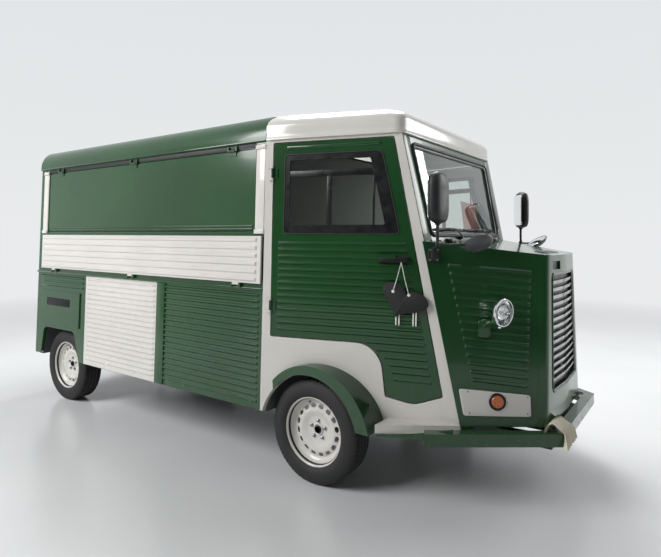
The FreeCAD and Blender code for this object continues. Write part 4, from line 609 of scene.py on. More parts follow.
wheel = {"middle": 870, "skin": 5, "slots": 16, "slotShares": (0.0, 0.2, 0.3, 0.5, 0.7, 0.8),
         "slotCells": ((7, (2, 3)), (8, (1, 2, 3, 4)), (9, (2, 3))),
         "disc": ((20, 16), (54, 16), (78, 16), (92, 22), (108, 29), (124, 34), (132, 33), (137, 32),
                  (142, 30.5), (156, 26), (161, 24), (165, 22.5), (173, 25), (186, 33), (195, 46),
                  (199, 62), (201, 72), (205, 75), (206.5, 79)),
         "well": ((168, 18), (168, -22), (188, -42), (195, -62), (200, -73), (206.5, -78)),
         "hubRing": ((0, 12), (36, 12), (36, 20), (33, 22), (29, 22), (27, 18), (0, 18)),
         "hubCap": ((0, 17), (24, 17), (23, 26), (20, 29), (0, 29)), "hubCapSteps": 32,
         "nut": ((0, 14), (13, 14), (13, 17), (10, 18), (10, 27), (6, 30), (0, 30)), "nuts": 5,
         "nutSides": 6, "nutTurn": 0.25, "nutRing": 54, "valve": ((176, 24), (172, 44)), "valveTurn": 0.3,
         "valveRadius": 4, "sharpAngle": 28}


def makeWheel(name, node, tyreNode, body, side):
    low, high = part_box(tyreNode)
    centre = Vector(((low.x + high.x) / 2, side * wheel["middle"] / 1000, (low.z + high.z) / 2))
    turns = [(k + share) / wheel["slots"] for k in range(wheel["slots"]) for share in wheel["slotShares"]]

    def at(radius, out, turned):
        angle = math.tau * turned
        return centre + Vector((radius * math.cos(angle), side * out, radius * math.sin(angle))) / 1000

    def grid(profile, back):
        rows = []
        for i, (radius, out) in enumerate(profile):
            before, after = profile[max(0, i - 1)], profile[min(len(profile) - 1, i + 1)]
            along = Vector((after[0] - before[0], after[1] - before[1])).normalized()
            rows.append([at(radius + along.y * back, out - along.x * back, t) for t in turns])
        return rows

    bm = bmesh.new()
    slots = [(row, k * len(wheel["slotShares"]) + c) for k in range(wheel["slots"])
             for row, cells in wheel["slotCells"] for c in cells]
    addSheetMetal(bm, grid(wheel["disc"], 0), grid(wheel["disc"], wheel["skin"]), slots, True)
    addSheetMetal(bm, grid(wheel["well"], 0), grid(wheel["well"], -wheel["skin"]), (), True)
    out = Vector((0.0, side, 0.0))
    addLathe(bm, centre, out, wheel["hubRing"])
    addLathe(bm, centre, out, wheel["hubCap"], wheel["hubCapSteps"], 1)
    for k in range(wheel["nuts"]):
        spot = at(wheel["nutRing"], 0, (k + wheel["nutTurn"]) / wheel["nuts"])
        addLathe(bm, spot, out, wheel["nut"], wheel["nutSides"], 2)
    addTube(bm, [at(*end, wheel["valveTurn"]) for end in wheel["valve"]], wheel["valveRadius"], 8, paint=1)
    newPiece(name, bm, (whiteWheelEnamel, blackTrim, zinc), body, (node,), wheel["sharpAngle"])


for corner in corners:
    makeWheel("slottedWheel_" + corner, "rim_" + corner, "tyre_" + corner, "wheel_" + corner,
              right if corner.endswith("right") else left)
print("wheels made")


# Nose front: one pressed panel with folded edges, the grille's opening and a small recess whose back is
# painted shade in black

noseFront = {"flange": 50, "corner": 20, "cornerProud": 2, "cornerShare": 0.8, "cornerSteps": 4,
             "flangeOut": 2.0, "sheet": 5, "grilleLow": 637, "grilleHigh": 1292, "grilleLowHalf": 300,
             "grilleHighHalf": 263, "recess": (1323, 1378), "recessInner": 100, "recessDepth": 12,
             "trayWall": 3, "trayFront": -1, "trayEdge": 1, "shadeBack": 3, "shadeBackEdge": 0.5,
             "lipX": 1207, "lipOut": 1, "lipShare": 0.999, "rimProud": 5, "rimOut": 1, "rimWidth": 13,
             "rimShare": 0.93, "foldedEnds": 6}


def grilleHalf(z):
    share = (z - noseFront["grilleLow"]) / (noseFront["grilleHigh"] - noseFront["grilleLow"])
    return noseFront["grilleLowHalf"] + (noseFront["grilleHighHalf"] - noseFront["grilleLowHalf"]) * share


def noseColumn(side, z, deep):
    # The panel's plan at one height, from near the middle line round the corner to the flange's end.
    x, wall, turned = noseFrontX(z), noseSide(side), noseFront["corner"]
    half = noseHalfAt(x, z)
    made = [prowPlace(side * y, z, -deep) for y in (noseFront["recessInner"], grilleHalf(z))]
    enter = prowPlace(side * (half - turned), z, -deep)
    corner = prowPlace(side * (half + noseFront["cornerProud"] - deep), z, -deep)
    leave = wall(x - turned * noseFront["cornerShare"], z, noseFront["flangeOut"] - deep)
    made += bent(enter, corner, leave, noseFront["cornerSteps"])
    return made + [wall(x - noseFront["flange"], z, noseFront["flangeOut"] - deep)]


def noseGrid(deep):
    low, high = noseFront["recess"]
    rows = (truck["noseLow"], noseFront["grilleLow"], noseFront["grilleHigh"], low, high, truck["noseTop"])
    grid = [[*reversed(noseColumn(right, z, deep)), prowPlace(0.0, z, -deep), *noseColumn(left, z, deep)]
            for z in rows]
    out = noseFront["lipOut"] - deep
    lip = [bonnetPlace(noseFront["lipX"], p.y * 1000, out) for p in grid[-1]]
    top = [bonnetPlace(p.x * 1000 - truck["axleX"], p.y * 1000, out) for p in grid[-1]]
    ends = noseFront["foldedEnds"]
    lip[:ends], lip[-ends:] = top[:ends], top[-ends:]
    return grid[:-1] + [top, [a.lerp(b, noseFront["lipShare"]) for a, b in zip(top, lip)]]


def makeNoseFront():
    low, high = noseFront["recess"]
    bm = bmesh.new()
    outer, inner = noseGrid(0.0), noseGrid(noseFront["sheet"])
    middle = len(outer[0]) // 2
    ends = noseFront["foldedEnds"]
    # The grille's opening takes four cells of its row, and the recess one.
    opening = [(1, c) for c in range(middle - 2, middle + 2)] + [(3, middle - 2)]
    unfolded = [(len(outer) - 2, c) for c in (*range(ends), *range(2 * middle - ends, 2 * middle))]
    addSheetMetal(bm, outer, inner, opening + unfolded)
    tray = [(-grilleHalf(low), low), (-noseFront["recessInner"], low), (-noseFront["recessInner"], high),
            (-grilleHalf(high), high)]
    deep = -noseFront["recessDepth"]
    addFrame(bm, prowPlace, tray, inset(tray, noseFront["trayWall"]), deep, noseFront["trayFront"],
             noseFront["trayEdge"])
    # The recess's back plate is black: painted shade at the bottom of the recess.
    addPlate(bm, prowPlace, tray, deep - noseFront["shadeBack"], deep, noseFront["shadeBackEdge"], 1)
    wide, foot, head = noseFront["rimWidth"], noseFront["grilleLow"], noseFront["grilleHigh"]
    for side in (right, left):
        lowHalf, highHalf = side * (grilleHalf(foot) + wide), side * (grilleHalf(head) + wide)
        rim = [(0.0, foot - wide), (lowHalf * noseFront["rimShare"], foot - wide), (lowHalf, foot + wide),
               (highHalf, head - wide), (highHalf * noseFront["rimShare"], head + wide), (0.0, head + wide)]
        addTube(bm, [prowPlace(y, z, noseFront["rimOut"]) for y, z in rim], noseFront["rimProud"], 8)
    newPiece("noseFrontPanel", bm, (greenEnamel, blackTrim), replaced=("nose_front",))


grille = {"slats": 14, "slatTall": 22, "slatSkin": 3, "slatLean": 1, "slatOut": -9, "gap": 11, "side": 6,
          "shadeSheet": -26, "shadeSheetThick": 4, "margin": 6, "middle": 0.001, "tilt": 5}


def makeGrille():
    bm = bmesh.new()
    low, high = noseFront["grilleLow"], noseFront["grilleHigh"]
    tall, tilt, skin, lean = grille["slatTall"] / 2, grille["tilt"], grille["slatSkin"], grille["slatLean"]
    profile = [(-tall, -tilt), (tall, tilt), (tall + lean, tilt - skin), (-tall + lean, -tilt - skin)]
    margin = grille["margin"]
    for side in (right, left):
        for i in range(grille["slats"]):
            z = low + (high - low) / (grille["slats"] + 1) * (i + 1)
            addBands(bm, [[bm.verts.new(prowPlace(side * y, z + up, grille["slatOut"] + out))
                           for up, out in profile] for y in (grille["gap"], grilleHalf(z) - grille["side"])])
        # A black sheet behind the slats: painted shade in the depth of the grille.
        outline = [(grille["middle"], low - margin), (grilleHalf(low) + margin, low - margin),
                   (grilleHalf(high) + margin, high + margin), (grille["middle"], high + margin)]
        addBands(bm, [[bm.verts.new(prowPlace(side * y, z, grille["shadeSheet"] + out)) for y, z in outline]
                      for out in (0, grille["shadeSheetThick"])], 1)
    newPiece("grilleSlats", bm, (silverPaint, blackTrim), replaced=("grille",))


makeNoseFront()
makeGrille()
print("nose front made")


# Headlamps: chromed bowls on stalks, with ribbed glass

headLamp = {"x": 1062, "half": 614, "z": 1100, "turn": 21, "dip": -0.04, "ribs": 36, "ribTall": 1.2,
            "bowl": ((0, -68), (26, -66), (48, -54), (64, -36), (73, -16), (75, -7), (79, -5), (79, 2),
                     (76, 5), (71, 5), (70, 1), (62, -22), (40, -40), (16, -50), (0, -52)), "bowlSteps": 56,
            "glass": ((70, 2), (63, 8), (45, 15), (24, 18)), "glassTip": 19,
            "bulb": ((0, 0), (7, 2), (9, 14), (7, 24), (0, 28)), "bulbBack": 45, "bulbSteps": 16,
            "footX": 940, "footZ": 1000, "footWide": 30, "footTall": 52, "footRound": 26,
            "footOut": (6, 16, 5), "armRadius": 12, "armStart": (0, 8, 10), "armBend": (8, 34, 52),
            "armBack": 30, "armDrop": 55, "armTip": 20, "nutDrop": 34, "nutSides": 6, "sharpAngle": 40,
            "nut": ((0, 0), (9, 0), (9, 8), (5, 9), (5, 26), (11, 28), (11, 36), (0, 36))}


def makeHeadLamps():
    bm = bmesh.new()
    angle, up = math.radians(headLamp["turn"]), Vector((0.0, 0.0, 1.0))
    footX, footZ, wide, tall = (headLamp[key] for key in ("footX", "footZ", "footWide", "footTall"))
    for side in (right, left):
        aim = Vector((math.cos(angle), side * math.sin(angle), headLamp["dip"])).normalized()
        front = Vector((truck["axleX"] + headLamp["x"], side * headLamp["half"], headLamp["z"])) / 1000
        addLathe(bm, front, aim, headLamp["bowl"], headLamp["bowlSteps"])
        lift = up.rotation_difference(aim)
        rings = []
        for reach, height in headLamp["glass"]:
            heights = (height, height + headLamp["ribTall"])
            rings.append([bm.verts.new(front + lift @ (spot + up * heights[i % 2]) / 1000)
                          for i, spot in enumerate(circle(reach, headLamp["ribs"] * 2))])
        rings.append([bm.verts.new(front + lift @ up * headLamp["glassTip"] / 1000)])
        addBands(bm, rings, 1, False)
        addLathe(bm, front - aim * headLamp["bulbBack"] / 1000, aim, headLamp["bulb"],
                 headLamp["bulbSteps"], 3)
        wall = noseSide(side)
        foot = rounded(bar(footX - wide, footX + wide, footZ - tall, footZ + tall), headLamp["footRound"])
        addPlate(bm, wall, foot, *headLamp["footOut"], 2)
        start, bend = (wall(footX + x, footZ + z, out)
                       for x, z, out in (headLamp["armStart"], headLamp["armBend"]))
        end = front - (aim * headLamp["armBack"] + up * headLamp["armDrop"]) / 1000
        tip = end + up * headLamp["armTip"] / 1000
        addTube(bm, smoothPath([start, bend, end, tip]), headLamp["armRadius"], 14, paint=2)
        addLathe(bm, end - up * headLamp["nutDrop"] / 1000, up, headLamp["nut"], headLamp["nutSides"])
    newPiece("roundHeadlamps", bm, (chrome, lampGlass, greenEnamel, bulbGlass),
             replaced=("headlamps",), angle=headLamp["sharpAngle"])


makeHeadLamps()
print("headlamps made")


# Mirrors: tall moulded heads on bent tube, with a round wide-angle mirror on a second arm

mirror = {"x": 752, "half": 800, "low": 1588, "high": 1880, "wide": 92, "deep": 46, "farTurn": 38,
          "rows": 18, "around": 32, "endPower": 5, "fullPower": 1 / 2.4, "wideShares": (0.18, 0.82),
          "deepShares": (0.25, 0.75), "acrossPower": 0.62, "alongPower": 0.8, "backShare": 0.55,
          "glassShare": 0.84, "glassEnds": 26, "glassRound": 26, "glassBack": 0.5,
          "glassOut": (-2, 3.5, 1.0), "arm": 9, "elbow": 1472, "armTop": 20, "armStraight": 40,
          "armFootZ": 34, "armFootOut": 18, "footX": 690, "footZ": 1412, "clamps": (1462, 1582),
          "clamp": ((0, 0), (13, 0), (14, 2), (14, 22), (13, 24), (0, 24)),
          "feet": ((26, -40, 40, 8, 0, 10, 2), (12, -34, 44, 6, 8, 26, 3)),
          "bolts": ((-17, -28), (17, -28), (-17, 28), (17, 28)), "boltRadius": 6,
          "boltTurns": (0.3, 1.87, 3.44, 5.01), "boltRound": 2, "boltOut": (9, 14, 1.5),
          "wideX": 918, "wideHalf": 622, "wideZ": 1480,
          "wideArmShare": 0.8, "wideArmDrop": 4, "wideAim": (-0.42, -0.34, 0.84), "wideSteps": 48,
          "wideBack": ((0, -34), (34.4, -31), (64.5, -20), (81.7, -6), (86, 0), (86, 5), (82, 8), (78, 6)),
          "wideGlass": ((79, 6), (51.6, 12), (25.8, 15), (0, 16)), "sharpAngle": 50}


def addMirrorHead(bm, middle, turn):
    rings = []
    tall = (mirror["high"] - mirror["low"]) / 2
    for i in range(mirror["rows"] + 1):
        t = -1 + 2 * i / mirror["rows"]
        full = (1 - abs(t) ** mirror["endPower"]) ** mirror["fullPower"]
        z = (mirror["high"] + mirror["low"]) / 2 + tall * t
        wide, deep = (mirror[key] * (shares[0] + shares[1] * full)
                      for key, shares in (("wide", mirror["wideShares"]), ("deep", mirror["deepShares"])))
        ring = []
        for spot in circle(1.0, mirror["around"]):
            u = math.copysign(abs(spot.y) ** mirror["acrossPower"], spot.y) * wide
            v = math.copysign(abs(spot.x) ** mirror["alongPower"], spot.x) * deep
            if spot.x < 0:
                v *= mirror["backShare"]
            ring.append(bm.verts.new((middle + turn @ Vector((v, u, z))) / 1000))
        rings.append(ring)
    addBands(bm, rings)

    def rearFace(y, z, out=0.0):
        return (middle + turn @ Vector((-mirror["deep"] * mirror["glassBack"] - out, y, z))) / 1000

    half = mirror["wide"] * mirror["glassShare"]
    glass = bar(-half, half, mirror["low"] + mirror["glassEnds"], mirror["high"] - mirror["glassEnds"])
    addPlate(bm, rearFace, rounded(glass, mirror["glassRound"]), *mirror["glassOut"], 1)


def makeMirror(side):
    bm = bmesh.new()
    wall, up = noseSide(side), Vector((0.0, 0.0, 1.0))
    middle = Vector((truck["axleX"] + mirror["x"], side * mirror["half"], 0.0))
    turned = math.radians(mirror["farTurn"] if side == left else 0.0)
    addMirrorHead(bm, middle, Matrix.Rotation(turned, 3, "Z"))
    top, elbow = ((middle + up * z) / 1000 for z in (mirror["low"] + mirror["armTop"], mirror["elbow"]))
    foot = wall(mirror["footX"], mirror["footZ"] + mirror["armFootZ"], mirror["armFootOut"])
    bend = elbow + up * mirror["armStraight"] / 1000
    addTube(bm, smoothPath([top, bend, elbow, elbow.lerp(foot, 0.5), foot]), mirror["arm"], 12)
    wide = Vector((truck["axleX"] + mirror["wideX"], side * mirror["wideHalf"], mirror["wideZ"])) / 1000
    sag = elbow.lerp(wide, 0.5) - up * mirror["wideArmDrop"] / 1000
    addTube(bm, smoothPath([elbow, sag, wide]), mirror["arm"] * mirror["wideArmShare"], 10)
    for z in mirror["clamps"]:
        addLathe(bm, (middle + up * z) / 1000, up, mirror["clamp"], 20)
    footX, footZ = mirror["footX"], mirror["footZ"]
    for half, low, high, radius, *out in mirror["feet"]:
        addPlate(bm, wall, rounded(bar(footX - half, footX + half, footZ + low, footZ + high), radius), *out)
    for x, z in mirror["bolts"]:
        bolt = [(footX + x + mirror["boltRadius"] * math.cos(turn),
                 footZ + z + mirror["boltRadius"] * math.sin(turn)) for turn in mirror["boltTurns"]]
        addPlate(bm, wall, rounded(bolt, mirror["boltRound"], 2), *mirror["boltOut"], 2)
    x, y, z = mirror["wideAim"]
    aim = Vector((x, side * y, z)).normalized()
    addLathe(bm, wide, aim, mirror["wideBack"], mirror["wideSteps"], 3)
    addLathe(bm, wide, aim, mirror["wideGlass"], mirror["wideSteps"], 1)
    newPiece("mirror_" + sideNames[side], bm, (blackPlastic, mirrorSilver, zinc, greyPlastic),
             replaced=("mirrors",) if side == right else (), angle=mirror["sharpAngle"])


for side in (right, left):
    makeMirror(side)
print("mirrors made")


# Cab roof: one moulded cap with a rolled lower edge

capRoof = {"low": 2135, "face": 2215, "top": 2360, "inset": 440, "lip": 10, "round": 62, "roundShare": 0.5,
           "bands": 16, "cornerSteps": 10, "slopeSteps": 4, "overBox": 2, "sharpAngle": 60,
           "rolledEdge": ((14, 26), (0, 22), (0, 0), (1, -5), (9, -5), (13, -1), (40, 0))}


def roofRing(z, drawn):
    side = truck["groundHalf"] - truck["sideLean"] * truck["cabHead"] + capRoof["lip"] - drawn
    front = truck["pillarTop"] + capRoof["lip"] - drawn
    point = Vector((front, side - (truck["pillarTop"] - truck["cabRear"]) * truck["cabTaper"]))
    turned = capRoof["round"] + max(0.0, drawn) * capRoof["roundShare"]
    shoulder = Vector((truck["cabRear"], side))
    enter, leave = point + (shoulder - point).normalized() * turned, point - Vector((0.0, turned))
    half = [Vector((truck["boxFront"] + capRoof["overBox"], side)), shoulder]
    half += [shoulder.lerp(enter, k / capRoof["slopeSteps"]) for k in range(1, capRoof["slopeSteps"])]
    half += bent(enter, point, leave, capRoof["cornerSteps"])
    places = half + [Vector((p.x, -p.y)) for p in reversed(half)]
    return [Vector((truck["axleX"] + p.x, p.y, z)) / 1000 for p in places]


def makeCabRoof():
    bm = bmesh.new()
    levels = [(capRoof["low"] + up, drawn) for up, drawn in capRoof["rolledEdge"]]
    for i in range(capRoof["bands"] + 1):
        angle = math.pi / 2 * i / capRoof["bands"]
        levels.append((capRoof["face"] + (capRoof["top"] - capRoof["face"]) * math.sin(angle),
                       capRoof["inset"] * (1 - math.cos(angle))))
    rings = [[bm.verts.new(p) for p in roofRing(z, drawn)] for z, drawn in levels]
    addBands(bm, rings, capped=False)
    bm.faces.new(rings[-1])
    newPiece("cabRoofCap", bm, (whiteEnamel,), replaced=("cab_roof",),
             angle=capRoof["sharpAngle"])


makeCabRoof()
print("cab roof made")


# Windows: rubber gaskets, black frames and wipers

windows = {"rear": -218, "frontLow": 486, "frontTop": 376, "low": 1540, "high": 2026, "round": 30,
           "outerGrow": (4, 5, 5), "beadGrow": (9, 12, 11), "beadRadius": 4.5, "beadOut": 1,
           "innerRound": 14, "frameRear": 26, "frameTop": 30, "frameLow": 48, "frameFront": 66,
           "railRear": 20, "railFront": 50, "railLow": 1890, "railHigh": 1929, "railProud": 1.0,
           "postOver": (-6, 4), "proud": 2.5, "deep": -9,
           "posts": ((49, 80, 0.5, 1.5), (334, 346, -1.5, 1))}
doorTrims = {"bead": (-216, 377, 2070, 2092), "beadRound": 8, "beadOut": (0, 7, 6),
             "foot": (372, 560, 1362, 1400), "footRound": 16, "footOut": (7, 17, 4),
             "grip": ((384, 1368), (548, 1366), (552, 1390), (380, 1394)), "gripRound": 9,
             "gripOut": (15, 36, 6)}


def windowFront(z):
    share = (z - windows["low"]) / (windows["high"] - windows["low"])
    return windows["frontLow"] + (windows["frontTop"] - windows["frontLow"]) * share


def windowOutline(grow, growLow, growTop):
    rear, low, high = windows["rear"] - grow, windows["low"] - grow, windows["high"] + grow
    return rounded([(rear, low), (windows["frontLow"] + growLow, low), (windows["frontTop"] + growTop, high),
                    (rear, high)], windows["round"])


def windowPart(rear, front, low, high):
    # An outline inside the window, whose front edge follows the window's slope.
    return [(windows["rear"] + rear, low), (windowFront(low) - front, low), (windowFront(high) - front, high),
            (windows["rear"] + rear, high)]


def makeDoorWindow(side):
    wall, door, deep = cabSide(side), "door_" + sideNames[side], windows["deep"]
    low, high = windows["low"] + windows["frameLow"], windows["high"] - windows["frameTop"]
    bm = bmesh.new()
    inner = rounded(windowPart(windows["frameRear"], windows["frameFront"], low, high), windows["innerRound"])
    addFrame(bm, wall, windowOutline(*windows["outerGrow"]), inner, deep, windows["proud"])
    rail = windowPart(windows["railRear"], windows["railFront"], windows["railLow"], windows["railHigh"])
    addPlate(bm, wall, rail, deep, windows["railProud"])
    below, above = windows["postOver"]
    for rear, front, proud, edge in windows["posts"]:
        addPlate(bm, wall, bar(rear, front, low + below, windows["railLow"] + above), deep, proud, edge)
    addTube(bm, [wall(p[0], p[1], windows["beadOut"]) for p in windowOutline(*windows["beadGrow"])],
            windows["beadRadius"], 8, True, 1)
    newPiece("doorWindowFrame_" + sideNames[side], bm, (blackTrim, gasketRubber), door)
    bm = bmesh.new()
    addPlate(bm, wall, rounded(bar(*doorTrims["bead"]), doorTrims["beadRound"]), *doorTrims["beadOut"])
    newPiece("doorHeadBead_" + sideNames[side], bm, (greenEnamel,), door)
    bm = bmesh.new()
    addPlate(bm, wall, rounded(bar(*doorTrims["foot"]), doorTrims["footRound"]), *doorTrims["footOut"])
    addPlate(bm, wall, rounded(doorTrims["grip"], doorTrims["gripRound"]), *doorTrims["gripOut"])
    newPiece("doorHandle_" + sideNames[side], bm, (blackTrim,), door)


screen = {"topHalf": 640, "lowHalf": 602, "low": 1530, "high": 2080, "round": 46, "outer": 18,
          "gasket": (6, 3, 10), "frameGrow": 2, "frameOut": (-9, -2, 1.5), "bead": (-8, -1, 3.5),
          "pivots": (-170, 330), "pivotZ": 1512, "pivotOut": -2,
          "pivot": ((0, 0), (17, 0), (17, 8), (11, 12), (9, 26), (0, 27)), "pivotSteps": 24,
          "arm": (0, 0, 20), "armElbow": (-60, 20, 34), "armEnd": (60, 34), "armTip": 24, "armRadius": 5,
          "bladeZ": 1562, "bladeHalf": 215, "bladeShift": -205,
          "bladeShares": (-1, -0.6, -0.2, 0.2, 0.6, 1), "bladeRise": 5, "bladeOut": (14, 6),
          "bladeRadius": 4, "rubberHalf": 3, "rubberOut": (1, 13, 1)}


def screenOutline(grow):
    lowHalf, topHalf = screen["lowHalf"] + grow, screen["topHalf"] + grow
    low, high = screen["low"] - grow, screen["high"] + grow
    corners = [(-lowHalf, low), (lowHalf, low), (topHalf, high), (-topHalf, high)]
    return rounded(corners, screen["round"] + grow)


def makeWiper(name, pivot):
    bm = bmesh.new()
    pivotZ, bladeZ, half = screen["pivotZ"], screen["bladeZ"], screen["bladeHalf"]
    middle = pivot + screen["bladeShift"]
    addLathe(bm, screenPlace(pivot, pivotZ, screen["pivotOut"]), Vector((1, 0, truck["pillarRake"])),
             screen["pivot"], screen["pivotSteps"])
    arm = [screenPlace(pivot + y, pivotZ + z, out) for y, z, out in (screen["arm"], screen["armElbow"])]
    arm += [screenPlace(middle + screen["armEnd"][0], bladeZ, screen["armEnd"][1]),
            screenPlace(middle, bladeZ, screen["armTip"])]
    addTube(bm, smoothPath(arm), screen["armRadius"], 8)
    near, spring = screen["bladeOut"]
    blade = [screenPlace(middle + half * share, bladeZ + screen["bladeRise"] * (1 - share * share),
                         near + spring * (1 - abs(share))) for share in screen["bladeShares"]]
    addTube(bm, smoothPath(blade, 4), screen["bladeRadius"], 8)
    rubberHalf = screen["rubberHalf"]
    addPlate(bm, screenPlace, bar(middle - half, middle + half, bladeZ - rubberHalf, bladeZ + rubberHalf),
             *screen["rubberOut"])
    newPiece(name, bm, (blackTrim,))


def makeWindscreenTrim():
    bm = bmesh.new()
    for (grow, out, radius), sides, paint in ((screen["gasket"], 12, 0), (screen["bead"], 8, 1)):
        addTube(bm, [screenPlace(p[0], p[1], out) for p in screenOutline(grow)], radius, sides, True, paint)
    addFrame(bm, screenPlace, screenOutline(screen["frameGrow"]), screenOutline(-screen["outer"]),
             *screen["frameOut"])
    newPiece("windscreenGasket", bm, (gasketRubber, zinc))
    for i, pivot in enumerate(screen["pivots"]):
        makeWiper(f"wiper_{i + 1}", pivot)


for side in (right, left):
    makeDoorWindow(side)
makeWindscreenTrim()
print("windows trimmed")


# Body trims: white strips and caps beside the hatch, its pressed beads, ledge, post, louvre and plates

trims = {"strips": ((-3216, -3130), (-446, -361)), "stripLow": 1530, "stripHigh": 2112,
         "stripOut": (1, 8, 2), "cap": 28, "capOver": 3, "capRound": 3, "capOut": (1, 15, 3),
         "beadInset": 8, "beadRadius": 3,
         "hatchBeads": ((-3106, -470, 1555, 1569), (-3106, -470, 1575, 1589)), "hatchBeadRound": 6,
         "hatchBeadOut": (0, 7, 5), "rails": ((1160, 1178, 0, 15, 4), (2132, 2146, 0, 17, 4)), "railEnd": 2,
         "post": (-1450, -1352, 404, 1158), "postOut": (0, 10, 3)}
louvre = {"rear": -3078, "front": -2686, "low": 864, "high": 934, "round": 6, "rim": 7, "innerRound": 3,
          "rimOut": (6, 14, 2), "backInset": 4, "backOut": (6, 10.5, 0.5), "slats": 5, "slatInset": 6,
          "slatLow": 4, "slatHigh": 3, "slatOut": (9, 15, 2)}
signal = {"panel": ((835, 668), (1163, 633), (1170, 516), (862, 521)), "round": 15, "out": (2, 8, 2),
          "x": 1013, "z": 597, "face": 7, "rim": ((41, 0), (48, 0), (48, 5), (45, 9), (41, 9)),
          "rimSteps": 44, "screws": ((876, 652), (1150, 622), (1152, 532), (888, 536)), "screwSteps": 12,
          "screw": ((5, 0), (5, 2), (3, 3.4), (0, 3.6))}
vent = {"tray": (1100, 1180, -150, 150), "round": 12, "trayOut": (0, 2.5, 1), "slats": 5, "first": 1108,
        "pitch": 14, "wide": 8, "half": 142, "slatOut": (2, 5, 1)}


def makeSideTrims():
    wall = boxSide(right)
    bm = bmesh.new()
    cap, over = trims["cap"], trims["capOver"]
    low, high = trims["stripLow"] + cap, trims["stripHigh"] - cap
    for rear, front in trims["strips"]:
        addPlate(bm, wall, bar(rear, front, low, high), *trims["stripOut"])
        edge = front - trims["beadInset"]
        addTube(bm, [wall(edge, z, trims["beadInset"]) for z in (low, high)], trims["beadRadius"], 8)
        for start in (low - cap, high):
            addPlate(bm, wall, rounded(bar(rear - over, front, start, start + cap), trims["capRound"], 3),
                     *trims["capOut"])
    newPiece("hatchStrips", bm, (whiteEnamel,))
    bm = bmesh.new()
    for bead in trims["hatchBeads"]:
        addPlate(bm, wall, rounded(bar(*bead), trims["hatchBeadRound"]), *trims["hatchBeadOut"])
    newPiece("hatchBeads", bm, (greenEnamel,), "hatch")
    bm = bmesh.new()
    rear, front = truck["boxRear"] + trims["railEnd"], truck["boxFront"] - trims["railEnd"]
    for side in (right, left):
        for low, high, *out in trims["rails"]:
            addPlate(bm, boxSide(side), bar(rear, front, low, high), *out)
    newPiece("sideRails", bm, (greenEnamel,))
    bm = bmesh.new()
    addPlate(bm, wall, bar(*trims["post"]), *trims["postOut"])
    newPiece("sidePost", bm, (greenEnamel,))


def makeLouvre():
    def opening(inside):
        return bar(louvre["rear"] + inside, louvre["front"] - inside, louvre["low"] + inside,
                   louvre["high"] - inside)

    wall = boxSide(right)
    bm = bmesh.new()
    inner = rounded(opening(louvre["rim"]), louvre["innerRound"])
    addFrame(bm, wall, rounded(opening(0), louvre["round"]), inner, *louvre["rimOut"])
    addPlate(bm, wall, opening(louvre["backInset"]), *louvre["backOut"])
    foot, tall = louvre["low"] + louvre["rim"], louvre["high"] - louvre["low"] - 2 * louvre["rim"]
    rear, front = louvre["rear"] + louvre["slatInset"], louvre["front"] - louvre["slatInset"]
    for i in range(louvre["slats"]):
        z = foot + tall / louvre["slats"] * (i + 0.5)
        addPlate(bm, wall, bar(rear, front, z - louvre["slatLow"], z + louvre["slatHigh"]),
                 *louvre["slatOut"])
    newPiece("sideLouvre", bm, (blackTrim,))


def makeSignals():
    bm, rims = bmesh.new(), bmesh.new()
    for side in (right, left):
        wall = noseSide(side)
        addPlate(bm, wall, rounded(signal["panel"], signal["round"]), *signal["out"])
        addLathe(rims, wall(signal["x"], signal["z"], signal["face"]), outwards(wall), signal["rim"],
                 signal["rimSteps"])
        for x, z in signal["screws"]:
            addLathe(rims, wall(x, z, signal["face"]), outwards(wall), signal["screw"],
                     signal["screwSteps"], 1)
    newPiece("signalPanels", bm, (whiteEnamel,))
    newPiece("signalRims", rims, (blackTrim, zinc))


def makeBonnetVent():
    bm = bmesh.new()
    addPlate(bm, bonnetPlace, rounded(bar(*vent["tray"]), vent["round"]), *vent["trayOut"])
    for i in range(vent["slats"]):
        rear = vent["first"] + vent["pitch"] * i
        addPlate(bm, bonnetPlace, bar(rear, rear + vent["wide"], -vent["half"], vent["half"]),
                 *vent["slatOut"])
    newPiece("bonnetVent", bm, (blackTrim,), "bonnet")


makeSideTrims()
makeLouvre()
makeSignals()
makeBonnetVent()
print("trims made")


# Seats: foam cushions and backs in woven cloth, swelled by a cloth simulation, on painted steel bases

seat = {"rear": -300, "length": 470, "width": 440, "centre": 340, "low": 705, "tall": 130, "backTall": 620,
        "backDeep": 110, "floor": 400, "shrink": 14, "edge": 22, "edgeSteps": 4, "voxel": 8, "frames": 20,
        "quality": 5, "pressure": 4.0, "cap": 14, "channelPitch": 88, "channelDepth": 5, "channelWidth": 7,
        "channelReach": 50, "footRear": 6, "footFront": 40, "footRound": 18, "footTop": 4, "footEdge": 4,
        "panRear": 4, "panFront": 12, "panSide": 12, "panRound": 30, "panOut": (-5, 10, 3), "tubeSide": 26,
        "tubeRadius": 11, "tube": ((30, 2), (-30, 6)), "tubeBack": 24, "tubeEnds": 60}


def applyModifiers(made):
    view = bpy.context.evaluated_depsgraph_get()
    mesh = bpy.data.meshes.new_from_object(made.evaluated_get(view))
    made.modifiers.clear()
    made.data = mesh


